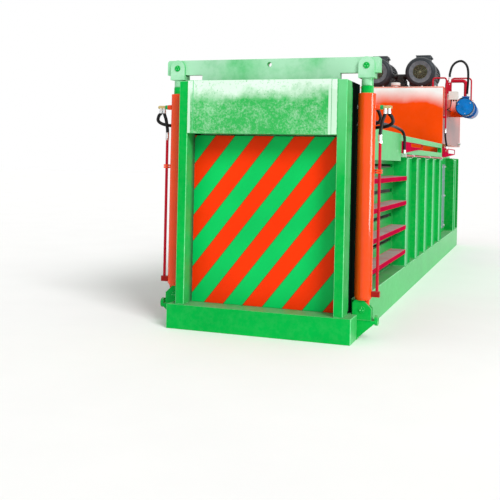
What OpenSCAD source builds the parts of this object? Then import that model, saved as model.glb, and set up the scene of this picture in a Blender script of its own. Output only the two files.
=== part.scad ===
// Horizontal recycling baler: a ram press with a lifting front gate, a top feed opening,
// two gate lift cylinders and a hydraulic power pack on the roof.
// Millimetres. +X right, +Y from the gate to the rear head, +Z up.
// Lengths along Y are counted from the front face of the front cross beam.

/* [Chamber] */
// Clear width of the bale chamber
chamber_w = 1200; // [1160:10:1220]
// Clear height of the bale chamber
chamber_h = 1300; // [1280:10:1340]
// Thickness of the chamber wall plates
wall_t = 25; // [20:1:30]
// Thickness of the floor and roof plates
deck_t = 25; // [20:1:30]
// End of the slotted strapping zone
strap_end = 2600; // [2560:10:2640]

/* [Base] */
// Depth of the front cross beam
base_beam_d = 220; // [216:2:240]
// Height of the front cross beam, level with the chamber floor
base_beam_h = 200; // [190:5:215]
// Width of the side skids and of everything that stands on them
skid_w = 150; // [145:5:170]
// Height of the side skids
skid_h = 300; // [270:5:305]
// Thickness of folded channels and box plates
plate_t = 16; // [10:1:18]
// Number of floor bearers
bearer_count = 9; // [5:1:12]
// Width of one floor bearer
bearer_w = 120; // [100:5:160]

/* [Gate frame] */
// Setback of the columns behind the front face
column_setback = 20; // [10:5:24]
// Width of a portal column
column_w = 75; // [70:1:78]
// Depth of a portal column
column_d = 175; // [160:1:176]
// Height of the portal columns above the floor line
column_h = 1840; // [1800:10:1860]
// Wall of the portal columns
column_t = 12; // [8:1:16]
// Step from the chamber wall to the inner face of a column
column_step = 30; // [26:1:34]
// Height of the header box
header_h = 435; // [400:5:450]
// Depth of the header box
header_d = 150; // [120:5:160]
// Width of the raised strip at each end of the header
header_strip_w = 45; // [30:1:60]
// Height of the raised strips
header_strip_t = 4; // [2:0.5:6]
// Depth of a mouth post, front to back
post_d = 160; // [140:5:200]
// Height of the lintel over the chamber mouth
lintel_h = 200; // [150:5:220]

/* [Gate] */
// Thickness of the gate
gate_t = 125; // [120:1:128]
// Front face of the gate behind the front face of the machine
gate_y = 200; // [198:1:202]
// Height of the gate
gate_h = 1400; // [1390:5:1420]
// Thickness of the gate skin
gate_skin = 25; // [16:1:30]
// Depth of the wire bars on the back of the gate
gate_bar_d = 60; // [40:1:70]
// Side play of the gate in its guides
gate_play = 3; // [2:0.5:4]
// Thickness of the guide cheeks
cheek_t = 12; // [10:1:14]
// Gate lift
gate_lift = 1300; // [1100:10:1320]

/* [Strapping slots] */
// Number of wire slots
slot_count = 5; // [5:1:5]
// Pitch of the wire slots
slot_pitch = 260; // [254:1:262]
// Height of one wire slot
slot_h = 35; // [25:1:40]
// Height of the lowest slot above the chamber floor
slot_first = 130; // [128:1:140]
// Height of the strapping shelves
shelf_h = 45; // [36:1:60]
// Plate of the strapping shelves
shelf_t = 10; // [8:1:12]

/* [Wall ribs] */
// Number of upright box ribs in the main row
rib_count = 5; // [4:1:5]
// Pitch of the upright ribs
rib_pitch = 748; // [700:4:760]
// Width of one rib
rib_w = 310; // [260:5:330]
// Gap from the slots to the first rib
rib_start = 40; // [30:1:60]
// Plate of the ribs
rib_t = 10; // [8:1:12]
// Distance of the rearmost rib from the back of the machine
rear_rib_back = 730; // [700:10:760]
// Thickness of the end posts at the back of the walls
end_post_t = 60; // [40:2:70]
// Gap between the ribs and the access cover between them
cover_gap = 100; // [80:5:140]
// Drop from the wall top to the rib tops
rib_drop = 10; // [8:1:16]

/* [Roof and feed opening] */
// Front edge of the shear beam
shear_y = 860; // [850:5:900]
// Length of the shear beam
shear_d = 1355; // [1310:5:1365]
// Height of the shear beam above the chamber roof
shear_h = 200; // [180:5:220]
// Drop of the sides of the shear beam below the roof
shear_drop = 77; // [60:1:90]
// Length of the feed opening
feed_len = 2035; // [1900:5:2050]
// Depth of the fixed knife bar
knife_d = 50; // [40:1:60]
// Height of the fixed knife bar
knife_h = 80; // [60:1:100]
// How far the fixed knife stands below the roof
knife_drop = 4; // [3:0.5:5]
// Length of the feed rim
rim_len = 3640; // [3500:5:3644]
// Height of the lower rim band
rim_band_h = 55; // [50:1:60]
// Open gap between the rim band and the rim rail
rim_gap = 70; // [60:1:80]
// Height of the rim rail
rim_rail_h = 60; // [50:1:70]
// Width of the rim rail
rim_rail_w = 60; // [50:1:80]
// Length of the front slotted lugs
front_lug_len = 1500; // [1300:10:1600]
// Length of the rear slotted lugs
rear_lug_len = 1620; // [1500:10:1700]
// Setback of the rear slotted lugs behind the tank front
rear_lug_back = 140; // [130:5:200]
// Thickness of the slotted rim lugs
lug_t = 12; // [10:1:14]

/* [Ram] */
// Front face of the ram at rest
ram_y = 4350; // [4340:5:4380]
// Length of the ram
ram_len = 2250; // [2200:5:2280]
// Ram stroke towards the gate
ram_stroke = 2300; // [2100:10:2310]
// Side play of the ram in the chamber
ram_play = 6; // [4:0.5:8]
// Thickness of the ram plates
ram_t = 20; // [16:1:25]
// Depth of the bars on the ram face
ram_bar_d = 60; // [50:1:70]
// Thickness of the ram wear strips
strip_t = 10; // [8:1:12]
// Width of one ram wear strip
strip_w = 100; // [80:5:140]

/* [Main cylinder] */
// Outside radius of the main barrel
main_r = 175; // [170:1:180]
// Bore radius of the main barrel
main_bore_r = 140; // [130:1:145]
// Radius of the main rod
main_rod_r = 100; // [90:1:105]
// Front end of the main barrel
main_y = 5440; // [5420:5:5460]
// Length of the main barrel
main_len = 2740; // [2700:5:2760]
// Thickness of the rear flange
flange_t = 60; // [50:1:62]
// Radius of the rear flange
flange_r = 240; // [230:1:260]
// Length of the main gland
main_gland_len = 120; // [100:1:124]
// Length of the main piston
main_piston_len = 120; // [100:1:130]
// Plate thickness of the rear head
head_t = 60; // [50:1:70]
// Depth of the stiffeners behind the rear head
head_rib_d = 100; // [80:5:120]

/* [Lift cylinders] */
// Outside radius of a lift barrel
lift_r = 70; // [66:1:72]
// Bore radius of a lift barrel
lift_bore_r = 55; // [52:1:57]
// Radius of a lift rod
lift_rod_r = 40; // [36:1:44]
// Distance of a lift cylinder from the middle plane
lift_x = 812; // [808:1:816]
// Lift cylinder plane behind the front face
lift_y = 262; // [260:0.5:263]
// Underside of the lift barrels
lift_z = 330; // [320:1:335]
// Length of a lift barrel
lift_len = 1618; // [1612:1:1622]
// Radius of the clevis and foot pins
pin_r = 25; // [20:1:28]
// Height of the foot pins
foot_pin_z = 244; // [240:1:248]
// Width of the foot ears
foot_ear_w = 150; // [140:1:154]
// Thickness of a foot ear
foot_ear_t = 25; // [20:1:26]
// Thickness of the cylinder eye between the ears
eye_t = 33; // [28:0.5:36]
// Height of the foot bracket
foot_h = 160; // [150:1:165]

/* [Yoke] */
// Thickness of the lifting yoke
yoke_t = 60; // [56:1:62]
// Half width of the deep middle of the yoke
yoke_deep_half = 595; // [560:5:600]
// Half width over the yoke arms
yoke_half = 917; // [905:1:930]
// Height of the yoke arms
yoke_arm_h = 125; // [115:1:130]
// Top of the yoke above the gate
yoke_rise = 635; // [625:1:645]
// Radius of the lifting hole
lift_hole_r = 20; // [15:0.5:25]
// Width of a rod clevis
clevis_w = 130; // [120:1:136]
// Thickness of a clevis ear
clevis_ear_t = 27; // [24:1:30]
// Height of the clevis pin above the underside of the yoke arms
clevis_pin_rise = 55; // [50:1:60]

/* [Oil tank] */
// Front face of the tank
tank_y = 5860; // [5840:5:5880]
// Length of the tank
tank_len = 2640; // [2560:10:2650]
// Height of the tank with its lid
tank_h = 823; // [800:1:840]
// Height of the stand under the tank
stand_h = 165; // [150:1:175]
// Plate of the tank
tank_t = 8; // [6:1:10]
// Thickness of the tank lid
lid_t = 12; // [10:1:14]

/* [Motors] */
// Half the distance between the two main motors
motor_x = 343; // [330:1:350]
// Shift of both main motors to the left
motor_shift = 24; // [0:1:30]
// Height of the motor shafts above the tank
motor_rise = 307; // [295:1:315]
// Front face of the fan cowls
cowl_y = 6700; // [6660:10:6740]
// Outside radius of a fan cowl
cowl_r = 234; // [230:1:240]
// Radius of the grille opening
grille_r = 108; // [100:1:120]
// Length of a fan cowl
cowl_len = 200; // [180:5:220]
// Length of a motor body
motor_len = 620; // [560:10:660]
// Number of cooling fins round a motor
fin_count = 30; // [20:2:36]
// Height of the rails under the motors
rail_h = 60; // [50:1:64]
// Number of fan blades
blade_count = 8; // [5:1:10]

/* [Circulation motor] */
// Distance of the circulation motor from the middle plane
circ_x = 1033; // [1010:1:1040]
// Drop of the circulation motor shaft below the tank top
circ_drop = 263; // [250:1:275]
// Front face of the circulation motor
circ_y = 6350; // [6330:5:6370]
// Radius of the circulation motor
circ_r = 132; // [126:1:136]
// Length of the circulation motor
circ_len = 520; // [500:5:560]

/* [Pipes and hoses] */
// Radius of the hard pipe up each lift cylinder
riser_r = 12; // [10:0.5:14]
// Distance of the riser pipes from the middle plane
riser_x = 922; // [918:1:926]
// Radius of a hydraulic hose
hose_r = 14; // [10:0.5:16]
// Radius of a thin pipe
thin_r = 9; // [6:0.5:10]
// Width of the junction box
box_w = 133; // [120:1:140]
// Depth of the junction box
box_d = 90; // [80:1:100]
// Height of the junction box
box_h = 114; // [100:1:125]
// Radius of the hose that arches over the circulation motor
arc_r = 17; // [14:0.5:18]
// Radius of a thick suction pipe
thick_r = 28; // [24:1:30]

/* [Hidden] */

$fn = 48;
// Clearances: seat of a moving piece, pin in its hole, running shaft, cut overshoot
seat = 0.3;
pin_gap = 0.3;
shaft_gap = 0.05;
cut = 1;

// Colours
green = [0.12, 0.72, 0.32];
dark_green = [0.05, 0.5, 0.22];
orange = [0.98, 0.33, 0.08];
red = [0.82, 0.08, 0.2];
grey = [0.4, 0.43, 0.45];
steel = [0.7, 0.7, 0.72];
rubber = [0.08, 0.08, 0.09];
blue = [0.1, 0.38, 0.72];
cream = [0.92, 0.9, 0.82];

// Cross section
wall_in = chamber_w / 2;
wall_out = wall_in + wall_t;
base_half = wall_out + skid_w;
deck_z = base_beam_h;
roof_z = deck_z + chamber_h;
roof_top = roof_z + deck_t;

// Gate frame
column_in = wall_in + column_step;
column_out = column_in + column_w;
column_top = deck_z + column_h;
header_z = column_top + 5 - header_h;
gate_half = column_out - cheek_t - gate_play;
mouth_y = gate_y + gate_t + gate_play;
post_end = mouth_y + post_d;
gate_z = deck_z + seat;
gate_top = gate_z + gate_h;
gate_cap_t = plate_t;

// Slots and bars: edges of the bars between the slots, from the lowest slot up
slot_z = [for (i = [0:slot_count - 1]) deck_z + slot_first + i * slot_pitch];

// Roof
feed_y = shear_y + shear_d;
roof2_y = feed_y + feed_len;
band_z = roof_z - 6;
rail_z = roof_top + rim_band_h - deck_t + rim_gap;
band_top = rail_z - rim_gap;
rim_post_w = 45;

// Ram
ram_half = wall_in - ram_play;
ram_z = deck_z + seat + strip_t;
ram_top = roof_z - 12;
ram_knife_top = roof_z - knife_drop - 2;
ram_knife_h = 60;
ram_front = ram_y + ram_bar_d;
boss_len = 100;
boss_r = 160;
main_z = deck_z + chamber_h / 2;
main_end = main_y + main_len;
flange_end = main_end + flange_t;
main_cap = 60;
piston_y = main_end - main_cap - main_piston_len - 120;
machine_len = flange_end + head_t + head_rib_d;
rear_rib_y = machine_len - rear_rib_back;
rear_lug_y = tank_y + rear_lug_back;

// Lift cylinders
foot_y = base_beam_d;
ear_front = lift_y - eye_t / 2 - pin_gap - foot_ear_t;
ear_back = lift_y + eye_t / 2 + pin_gap;
foot_half = foot_ear_w / 2;
foot_end = ear_back + foot_ear_t;
lift_top = lift_z + lift_len;
lift_cap = 20;
lift_piston_len = 80;
lift_gland_len = 80;
gland_h = 60;
gland_r = lift_rod_r + 10;
neck_len = 57;
yoke_top = gate_top + yoke_rise;
arm_z = yoke_top - yoke_arm_h;
clevis_pin_z = arm_z + clevis_pin_rise;
clevis_base_z = lift_top + gland_h + 3 + neck_len;
neck_r = 47;

// Power pack
tank_z = roof_top + stand_h;
tank_top = tank_z + tank_h;
motor_z = tank_top + motor_rise;
motor_r = cowl_r - 9;
motor_y = cowl_y + cowl_len - 50;
motor_at = [-motor_x - motor_shift, motor_x - motor_shift];
circ_z = tank_top - circ_drop;
shaft_r = 20;
circ_shaft_r = 12;
pump_r = 120;

// Moves geometry given from the front face into the part's frame
module from_front() {
  translate([0, -base_beam_d / 2, 0]) children();
}

module both_sides() {
  children();
  mirror([1, 0, 0]) children();
}

module left_side() {
  mirror([1, 0, 0]) children();
}

// Box from its low corner to its high corner
module block(lo, hi) {
  translate(lo) cube(hi - lo);
}

// Cylinder along Y from y0 to y1
module rod_y(x, z, y0, y1, r) {
  translate([x, y0, z]) rotate([-90, 0, 0]) cylinder(h = y1 - y0, r = r);
}

// Plate in the XZ plane, from y0 to y1
module plate_xz(y0, y1) {
  translate([0, y1, 0]) rotate([90, 0, 0]) linear_extrude(y1 - y0) children();
}

// Plate in the YZ plane, from x0 to x1
module plate_yz(x0, x1) {
  translate([x0, 0, 0]) rotate([90, 0, 90]) linear_extrude(x1 - x0) children();
}

// Tubes swept along a path
function unit(v) = v / norm(v);
function across(t) = abs(t[2]) < 0.9 ? unit(cross(t, [0, 0, 1])) : unit(cross(t, [1, 0, 0]));
function carried(t, i, n) = let (m = unit(n - (n * t[i]) * t[i]))
  i == len(t) - 1 ? [m] : concat([m], carried(t, i + 1, m));
function bend(a, b, c, r) = let (u = unit(a - b), v = unit(c - b), p = b + u * r, q = b + v * r)
  [for (s = [0:0.25:1]) (1 - s) * (1 - s) * p + 2 * s * (1 - s) * b + s * s * q];
function bent_path(p, r) = concat([p[0]],
  [for (i = [1:1:len(p) - 2]) each bend(p[i - 1], p[i], p[i + 1], r)], [p[len(p) - 1]]);
function smooth(p, i, s) = let (n = len(p) - 1, a = p[max(i - 1, 0)], b = p[i],
  c = p[i + 1], d = p[min(i + 2, n)])
  0.5 * (2 * b + (c - a) * s + (2 * a - 5 * b + 4 * c - d) * s * s
  + (3 * b - a - 3 * c + d) * s * s * s);
function smooth_path(p, steps) = concat(
  [for (i = [0:len(p) - 2]) for (s = [0:steps - 1]) smooth(p, i, s / steps)], [p[len(p) - 1]]);

module tube(path, r, sides = 8) {
  n = len(path);
  t = [for (i = [0:n - 1]) unit(path[min(i + 1, n - 1)] - path[max(i - 1, 0)])];
  u = carried(t, 0, across(t[0]));
  rings = [for (i = [0:n - 1]) let (v = cross(t[i], u[i])) for (k = [0:sides - 1])
    path[i] + r * (cos(360 * k / sides) * u[i] + sin(360 * k / sides) * v)];
  caps = [[for (k = [0:sides - 1]) k], [for (k = [0:sides - 1]) n * sides - 1 - k]];
  skin = [for (i = [0:n - 2], k = [0:sides - 1])
    let (a = i * sides + k, b = i * sides + (k + 1) % sides) [a, a + sides, b + sides, b]];
  polyhedron(points = rings, faces = concat(caps, skin));
}

// Front cross beam: channel with its web to the front and closed ends
module front_beam() color(green) from_front() {
  difference() {
    block([-base_half, 0, 0], [base_half, base_beam_d, base_beam_h]);
    block([-base_half + plate_t, plate_t, plate_t],
      [base_half - plate_t, base_beam_d + cut, base_beam_h - plate_t]);
  }
}

// Side skid: channel open to the chamber wall, stepped down under the gate and the cylinder
module skid() {
  difference() {
    block([wall_out, base_beam_d, 0], [base_half, machine_len, skid_h]);
    block([wall_out - cut, mouth_y + plate_t, plate_t],
      [base_half - plate_t, machine_len - plate_t, skid_h - plate_t]);
    block([wall_out - cut, base_beam_d - cut, deck_z],
      [base_half + cut, mouth_y, skid_h + cut]);
    block([wall_out - cut, base_beam_d + plate_t, plate_t],
      [lift_x - foot_half - plate_t, mouth_y, deck_z - plate_t]);
    block([lift_x - foot_half - seat, base_beam_d - cut, foot_h],
      [base_half + cut, foot_end + seat, skid_h]);
  }
}
module skid_right() color(green) from_front() skid();
module skid_left() color(green) from_front() left_side() skid();

// Floor bearers: I sections across the machine between the walls
module floor_bearers() color(dark_green) from_front() {
  low = 0;
  top = deck_z - deck_t;
  run = machine_len - base_beam_d - bearer_w;
  for (i = [1:bearer_count])
    translate([0, base_beam_d + run * i / bearer_count, 0]) difference() {
      block([-wall_in, 0, low], [wall_in, bearer_w, top]);
      for (side = [0, 1])
        block([-wall_in - cut, side ? (bearer_w + plate_t) / 2 : -cut, low + plate_t],
          [wall_in + cut, side ? bearer_w + cut : (bearer_w - plate_t) / 2, top - plate_t]);
    }
}

// Floor plate between the walls
module floor_plate() color(grey) from_front()
  block([-wall_in, base_beam_d, deck_z - deck_t], [wall_in, machine_len, deck_z]);

// Lift cylinder foot: cantilever bracket with two clevis ears
module lift_foot() {
  ear_top = lift_z - 13;
  arm = lift_x + foot_half + 37;
  inner = lift_x - foot_half;
  outer = lift_x + foot_half;
  plate_xz(foot_y, foot_end + 20)
    polygon([[base_half, 0], [base_half + 6, 18], [arm, foot_h - 14], [arm, foot_h],
      [base_half, foot_h]]);
  plate_yz(arm - 12, arm + 12) difference() {
    translate([lift_y, foot_h]) circle(r = 40);
    translate([lift_y, foot_h + 6]) circle(r = 20);
  }
  difference() {
    for (y = [ear_front, ear_back])
      plate_xz(max(y, foot_y), y + foot_ear_t)
        polygon([[inner, foot_h], [outer, foot_h], [outer, ear_top - 62],
          [outer - 65, ear_top], [inner + 20, ear_top], [inner, ear_top - 24]]);
    rod_y(lift_x, foot_pin_z, ear_front - cut, foot_end + cut, pin_r + pin_gap);
    block([lift_x - foot_half - cut, ear_front - cut, 0],
      [lift_x + foot_half + cut, foot_end + cut, foot_h]);
  }
}
module lift_feet() color(green) from_front() both_sides() lift_foot();

// Foot pins, each with a head plate at the back
module foot_pins() color(steel) from_front() both_sides() {
  rod_y(lift_x, foot_pin_z, ear_front - 6, foot_end + 6, pin_r);
  rod_y(lift_x, foot_pin_z, foot_end + seat, foot_end + 10, pin_r + 10);
}

// Slotted strapping wall: flat bars with the wire slots between them
module strap_bars(y0, y1, x0, x1, bottom, top) {
  edges = concat([bottom], [for (z = slot_z) each [z - slot_h / 2, z + slot_h / 2]], [top]);
  for (i = [0:slot_count])
    block([x0, y0, edges[2 * i]], [x1, y1, edges[2 * i + 1]]);
}
module strap_wall() strap_bars(mouth_y, strap_end, wall_in, wall_out, 0, roof_z);
module strap_wall_right() color(green) from_front() strap_wall();
module strap_wall_left() color(green) from_front() left_side() strap_wall();

// Strapping shelves: channels on the bars, open to the wall
module strap_shelf_row() {
  for (i = [0:slot_count - 2]) {
    z = (slot_z[i] + slot_z[i + 1] - shelf_h) / 2;
    difference() {
      block([wall_out, post_end, z], [base_half, strap_end + rib_start, z + shelf_h]);
      block([wall_out - cut, post_end + shelf_t, z + shelf_t],
        [base_half - shelf_t, strap_end + rib_start - shelf_t, z + shelf_h - shelf_t]);
    }
  }
}
module strap_shelves_right() color(red) from_front() strap_shelf_row();
module strap_shelves_left() color(red) from_front() left_side() strap_shelf_row();

// Plain side walls behind the strapping zone
module side_walls() color(green) from_front() both_sides()
  block([wall_in, strap_end, 0], [wall_out, machine_len, roof_z]);

// Upright box ribs: folded channels open to the wall, with a sloping top cap
module wall_rib(y) {
  z0 = skid_h;
  z1 = roof_z - rib_drop;
  slope = 30;
  difference() {
    plate_xz(y, y + rib_w) polygon([[wall_out, z0], [base_half, z0],
      [base_half, z1 - slope], [base_half - slope, z1], [wall_out, z1]]);
    plate_xz(y + rib_t, y + rib_w - rib_t) polygon([[wall_out - cut, z0 + rib_t],
      [base_half - rib_t, z0 + rib_t], [base_half - rib_t, z1 - slope - rib_t / 2],
      [base_half - slope - rib_t / 2, z1 - rib_t], [wall_out - cut, z1 - rib_t]]);
  }
}
module wall_rib_row() {
  for (i = [0:rib_count - 1])
    wall_rib(strap_end + rib_start + i * rib_pitch);
  wall_rib(rear_rib_y);
  block([wall_out, machine_len - end_post_t, skid_h],
    [base_half, machine_len, roof_z - rib_drop]);
}
module wall_ribs_right() color(green) from_front() wall_rib_row();
module wall_ribs_left() color(green) from_front() left_side() wall_rib_row();

// Access covers on the walls behind the ribs, each with two bolt heads
module access_covers() color(grey) from_front() both_sides() {
  y0 = strap_end + rib_start + (rib_count - 1) * rib_pitch + rib_w + cover_gap;
  y1 = rear_rib_y - cover_gap;
  z0 = skid_h + 60;
  z1 = roof_z - 110;
  block([wall_out, y0, z0], [wall_out + 12, y1, z1]);
  for (z = [z0 + 120, z1 - 250])
    translate([wall_out + 12, y1 - 180, z]) rotate([0, 90, 0]) cylinder(h = 14, r = 18, $fn = 6);
}

// Portal columns: box sections with a top cap, open at the foot
module gate_columns() color(green) from_front() both_sides() {
  difference() {
    block([column_in, column_setback, deck_z],
      [column_out, column_setback + column_d, column_top]);
    block([column_in + column_t, column_setback + column_t, deck_z - cut],
      [column_out - column_t, column_setback + column_d - column_t, column_top - column_t]);
  }
}

// Mouth posts behind the gate, with the cheek plate that guides the gate's edge
module mouth_posts() color(green) from_front() both_sides() {
  block([column_out - cheek_t, column_setback + column_d, deck_z],
    [column_out, mouth_y, column_top]);
  difference() {
    block([wall_out, mouth_y, skid_h], [column_out, post_end, column_top]);
    block([wall_out + cheek_t, mouth_y + cheek_t, skid_h - cut],
      [column_out - cheek_t, post_end + cut, column_top - cheek_t]);
  }
}

// Header box between the columns, open to the rear, with a raised strip at each end
module header_box() color(green) from_front() {
  top = header_z + header_h;
  difference() {
    block([-column_in, column_setback, header_z], [column_in, column_setback + header_d, top]);
    block([-column_in - cut, column_setback + plate_t, header_z + plate_t],
      [column_in + cut, column_setback + header_d + cut, top - plate_t]);
  }
  both_sides() block([column_in - header_strip_w, column_setback - header_strip_t, header_z],
    [column_in, column_setback, top]);
}

// Roof plates before and behind the feed opening, and the lintel over the mouth
module roof_plates() color(green) from_front() {
  difference() {
    block([-wall_out, mouth_y, roof_z], [wall_out, post_end, roof_z + lintel_h]);
    block([-wall_out + plate_t, mouth_y + plate_t, roof_top],
      [wall_out - plate_t, post_end + cut, roof_z + lintel_h - plate_t]);
  }
  block([-wall_out, post_end, roof_z], [wall_out, feed_y, roof_top]);
  block([-wall_out, roof2_y, roof_z], [wall_out, machine_len, roof_top]);
}

// Shear beam over the roof: a box open below, its sides hanging over the walls
module shear_beam() color(green) from_front() {
  low = roof_z - shear_drop;
  difference() {
    block([-base_half, shear_y, low], [base_half, feed_y, roof_z + shear_h]);
    block([-base_half + plate_t, shear_y + plate_t, low - cut],
      [base_half - plate_t, feed_y - plate_t, roof_z + shear_h - plate_t]);
    block([-wall_out, shear_y - cut, low - cut], [wall_out, feed_y + cut, roof_top]);
  }
}

// Fixed knife on the back of the shear beam
module fixed_knife() color(steel) from_front()
  plate_yz(-wall_in + 10, wall_in - 10)
    polygon([[feed_y, roof_z - knife_drop], [feed_y + knife_d, roof_z - knife_drop],
      [feed_y + knife_d, roof_z - knife_drop + knife_h - 20],
      [feed_y + knife_d - 20, roof_z - knife_drop + knife_h],
      [feed_y, roof_z - knife_drop + knife_h]]);

// Feed rim: an angle band on the wall top, end posts and a box rail
module hopper_rim() {
  y1 = feed_y + rim_len;
  difference() {
    block([wall_out, feed_y, band_z], [base_half, y1, band_top]);
    block([wall_out + rib_t, feed_y - cut, band_z - cut],
      [base_half - rib_t, y1 + cut, band_top - rib_t]);
  }
  for (y = [feed_y, y1 - rim_post_w])
    block([base_half - rim_rail_w, y, band_top], [base_half, y + rim_post_w, rail_z]);
  block([base_half - rim_rail_w, feed_y, rail_z], [base_half, y1, rail_z + rim_rail_h]);
}
module hopper_rim_right() color(green) from_front() hopper_rim();
module hopper_rim_left() color(green) from_front() left_side() hopper_rim();

// Slotted lugs: one on the front of each rim, one beside the tank stand
module rim_lug(y0, len, z_low, z_tip, z_top) {
  tip_r = (z_top - z_tip) / 2;
  slot_r = tip_r * 0.7;
  mid = z_tip + tip_r;
  far = y0 + len - tip_r;
  plate_yz(base_half, base_half + lug_t) difference() {
    union() {
      polygon([[y0, z_low], [y0, z_top], [far, z_top], [far, z_tip]]);
      translate([far, mid]) circle(r = tip_r);
    }
    for (y = [y0 + len * 0.4, far])
      translate([y, mid]) circle(r = slot_r);
    translate([y0 + len * 0.4, mid - slot_r]) square([len * 0.6 - tip_r, 2 * slot_r]);
  }
}
module rim_lugs() color(red) from_front() both_sides() {
  top = roof_z + 132;
  rim_lug(feed_y + 10, front_lug_len, roof_z, band_top + 15, rail_z);
  rim_lug(rear_lug_y, rear_lug_len, roof_z - rib_drop, roof_z + 48, top);
  block([wall_out, rear_lug_y, roof_z], [base_half, rear_lug_y + 30, top]);
}

// Rear head: thick plate with upright and level stiffeners
module rear_head() color(green) from_front() {
  y1 = flange_end + head_t;
  block([-wall_in, flange_end, deck_z], [wall_in, y1, roof_z]);
  for (k = [-1.5:1:1.5])
    translate([k * wall_in / 2, 0, 0])
      block([-plate_t, y1, deck_z], [plate_t, machine_len, roof_z]);
  for (z = [main_z - flange_r, main_z + flange_r])
    block([-wall_in, y1, z - plate_t], [wall_in, machine_len - plate_t, z + plate_t]);
}

// Main cylinder barrel: closed at the back, with its mounting flange
module main_barrel() color(orange) from_front() {
  difference() {
    union() {
      rod_y(0, main_z, main_y, main_end, main_r);
      rod_y(0, main_z, main_end, flange_end, flange_r);
    }
    rod_y(0, main_z, main_y - cut, main_end - main_cap, main_bore_r);
  }
}

// Glands: bored plugs in the mouths of the main barrel and of both lift barrels
module glands() color(steel) from_front() {
  difference() {
    union() {
      rod_y(0, main_z, main_y, main_y + main_gland_len, main_bore_r - seat);
      rod_y(0, main_z, main_y - 20, main_y, main_r - 10);
    }
    rod_y(0, main_z, main_y - 20 - cut, main_y + main_gland_len + cut, main_rod_r + seat);
  }
  both_sides() translate([lift_x, lift_y, 0]) difference() {
    union() {
      translate([0, 0, lift_top - lift_gland_len])
        cylinder(h = lift_gland_len, r = lift_bore_r - seat);
      translate([0, 0, lift_top]) cylinder(h = gland_h, r = gland_r);
    }
    translate([0, 0, lift_top - lift_gland_len - cut])
      cylinder(h = lift_gland_len + gland_h + 2 * cut, r = lift_rod_r + seat);
  }
}

// Lift barrel: tube with a foot cap, an eye, two ports and a pipe clamp
module lift_barrel() {
  clamp_z = lift_top - 616;
  difference() {
    union() {
      translate([lift_x, lift_y, lift_z]) cylinder(h = lift_len, r = lift_r);
      translate([lift_x, lift_y, lift_z - 12]) cylinder(h = 12, r = lift_r - 8);
      plate_xz(lift_y - eye_t / 2, lift_y + eye_t / 2) {
        translate([lift_x - 50, foot_pin_z]) square([100, lift_z - foot_pin_z]);
        translate([lift_x, foot_pin_z]) circle(r = 50);
      }
      block([lift_x + lift_bore_r + 5, lift_y - port_half, port_z[0] - port_half],
        [riser_x + port_half, lift_y + port_half, port_z[0] + port_half]);
      translate([lift_x, lift_y, port_z[1]]) rotate([0, 90, 0])
        cylinder(h = lift_r + stub_len, r = port_half - 1);
      block([lift_x + lift_r - 10, lift_y - 20, clamp_z - 16],
        [riser_x + riser_r + 8, lift_y + 20, clamp_z + 16]);
    }
    translate([lift_x, lift_y, lift_z + lift_cap])
      cylinder(h = lift_len, r = lift_bore_r);
    rod_y(lift_x, foot_pin_z, lift_y - eye_t, lift_y + eye_t, pin_r + pin_gap);
    translate([riser_x, lift_y, clamp_z - 17]) cylinder(h = 34, r = riser_r + seat);
  }
}
module lift_barrel_right() color(orange) from_front() lift_barrel();
module lift_barrel_left() color(orange) from_front() left_side() lift_barrel();

// Lift rods, each with its piston
module lift_rods() color(steel) from_front() both_sides() translate([lift_x, lift_y, 0]) {
  rod_top = clevis_base_z - neck_len;
  low = lift_z + lift_cap + seat;
  translate([0, 0, low]) cylinder(h = lift_piston_len, r = lift_bore_r - seat);
  translate([0, 0, low]) cylinder(h = rod_top - low, r = lift_rod_r);
}

// Rod clevises: neck, base block and two round-topped ears round the yoke arm
module rod_clevises() color(green) from_front() both_sides() {
  half = yoke_t / 2 + pin_gap;
  outer = half + clevis_ear_t;
  ear_top = clevis_pin_z + 5;
  translate([lift_x, lift_y, clevis_base_z - neck_len]) cylinder(h = neck_len, r = neck_r);
  block([lift_x - clevis_w / 2, lift_y - outer, clevis_base_z],
    [lift_x + clevis_w / 2, lift_y + outer, clevis_base_z + 35]);
  difference() {
    for (y = [lift_y - outer, lift_y + half])
      plate_xz(y, y + clevis_ear_t) {
        translate([lift_x - clevis_w / 2, clevis_base_z + 20])
          square([clevis_w, ear_top - clevis_base_z - 20]);
        translate([lift_x, ear_top]) circle(r = clevis_w / 2);
      }
    rod_y(lift_x, clevis_pin_z, lift_y - outer - cut, lift_y + outer + cut, pin_r + pin_gap);
  }
}

// Clevis pins, each with a head plate at the back
module clevis_pins() color(steel) from_front() both_sides() {
  outer = yoke_t / 2 + pin_gap + clevis_ear_t;
  rod_y(lift_x, clevis_pin_z, lift_y - outer - 6, lift_y + outer + 6, pin_r);
  rod_y(lift_x, clevis_pin_z, lift_y + outer + seat, lift_y + outer + 10, pin_r + 10);
}

// Lifting yoke on top of the gate: one thick plate with two arms and a lifting hole
module gate_yoke() color(green) from_front() difference() {
  corner = 14;
  plate_xz(lift_y - yoke_t / 2, lift_y + yoke_t / 2)
    polygon([[-yoke_deep_half, gate_top], [yoke_deep_half, gate_top], [yoke_deep_half, arm_z],
      [yoke_half, arm_z], [yoke_half, yoke_top - corner], [yoke_half - corner, yoke_top],
      [corner - yoke_half, yoke_top], [-yoke_half, yoke_top - corner], [-yoke_half, arm_z],
      [-yoke_deep_half, arm_z]]);
  rod_y(0, yoke_top - 47, lift_y - yoke_t, lift_y + yoke_t, lift_hole_r);
  for (x = [-lift_x, lift_x])
    rod_y(x, clevis_pin_z, lift_y - yoke_t, lift_y + yoke_t, pin_r + pin_gap);
}

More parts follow.
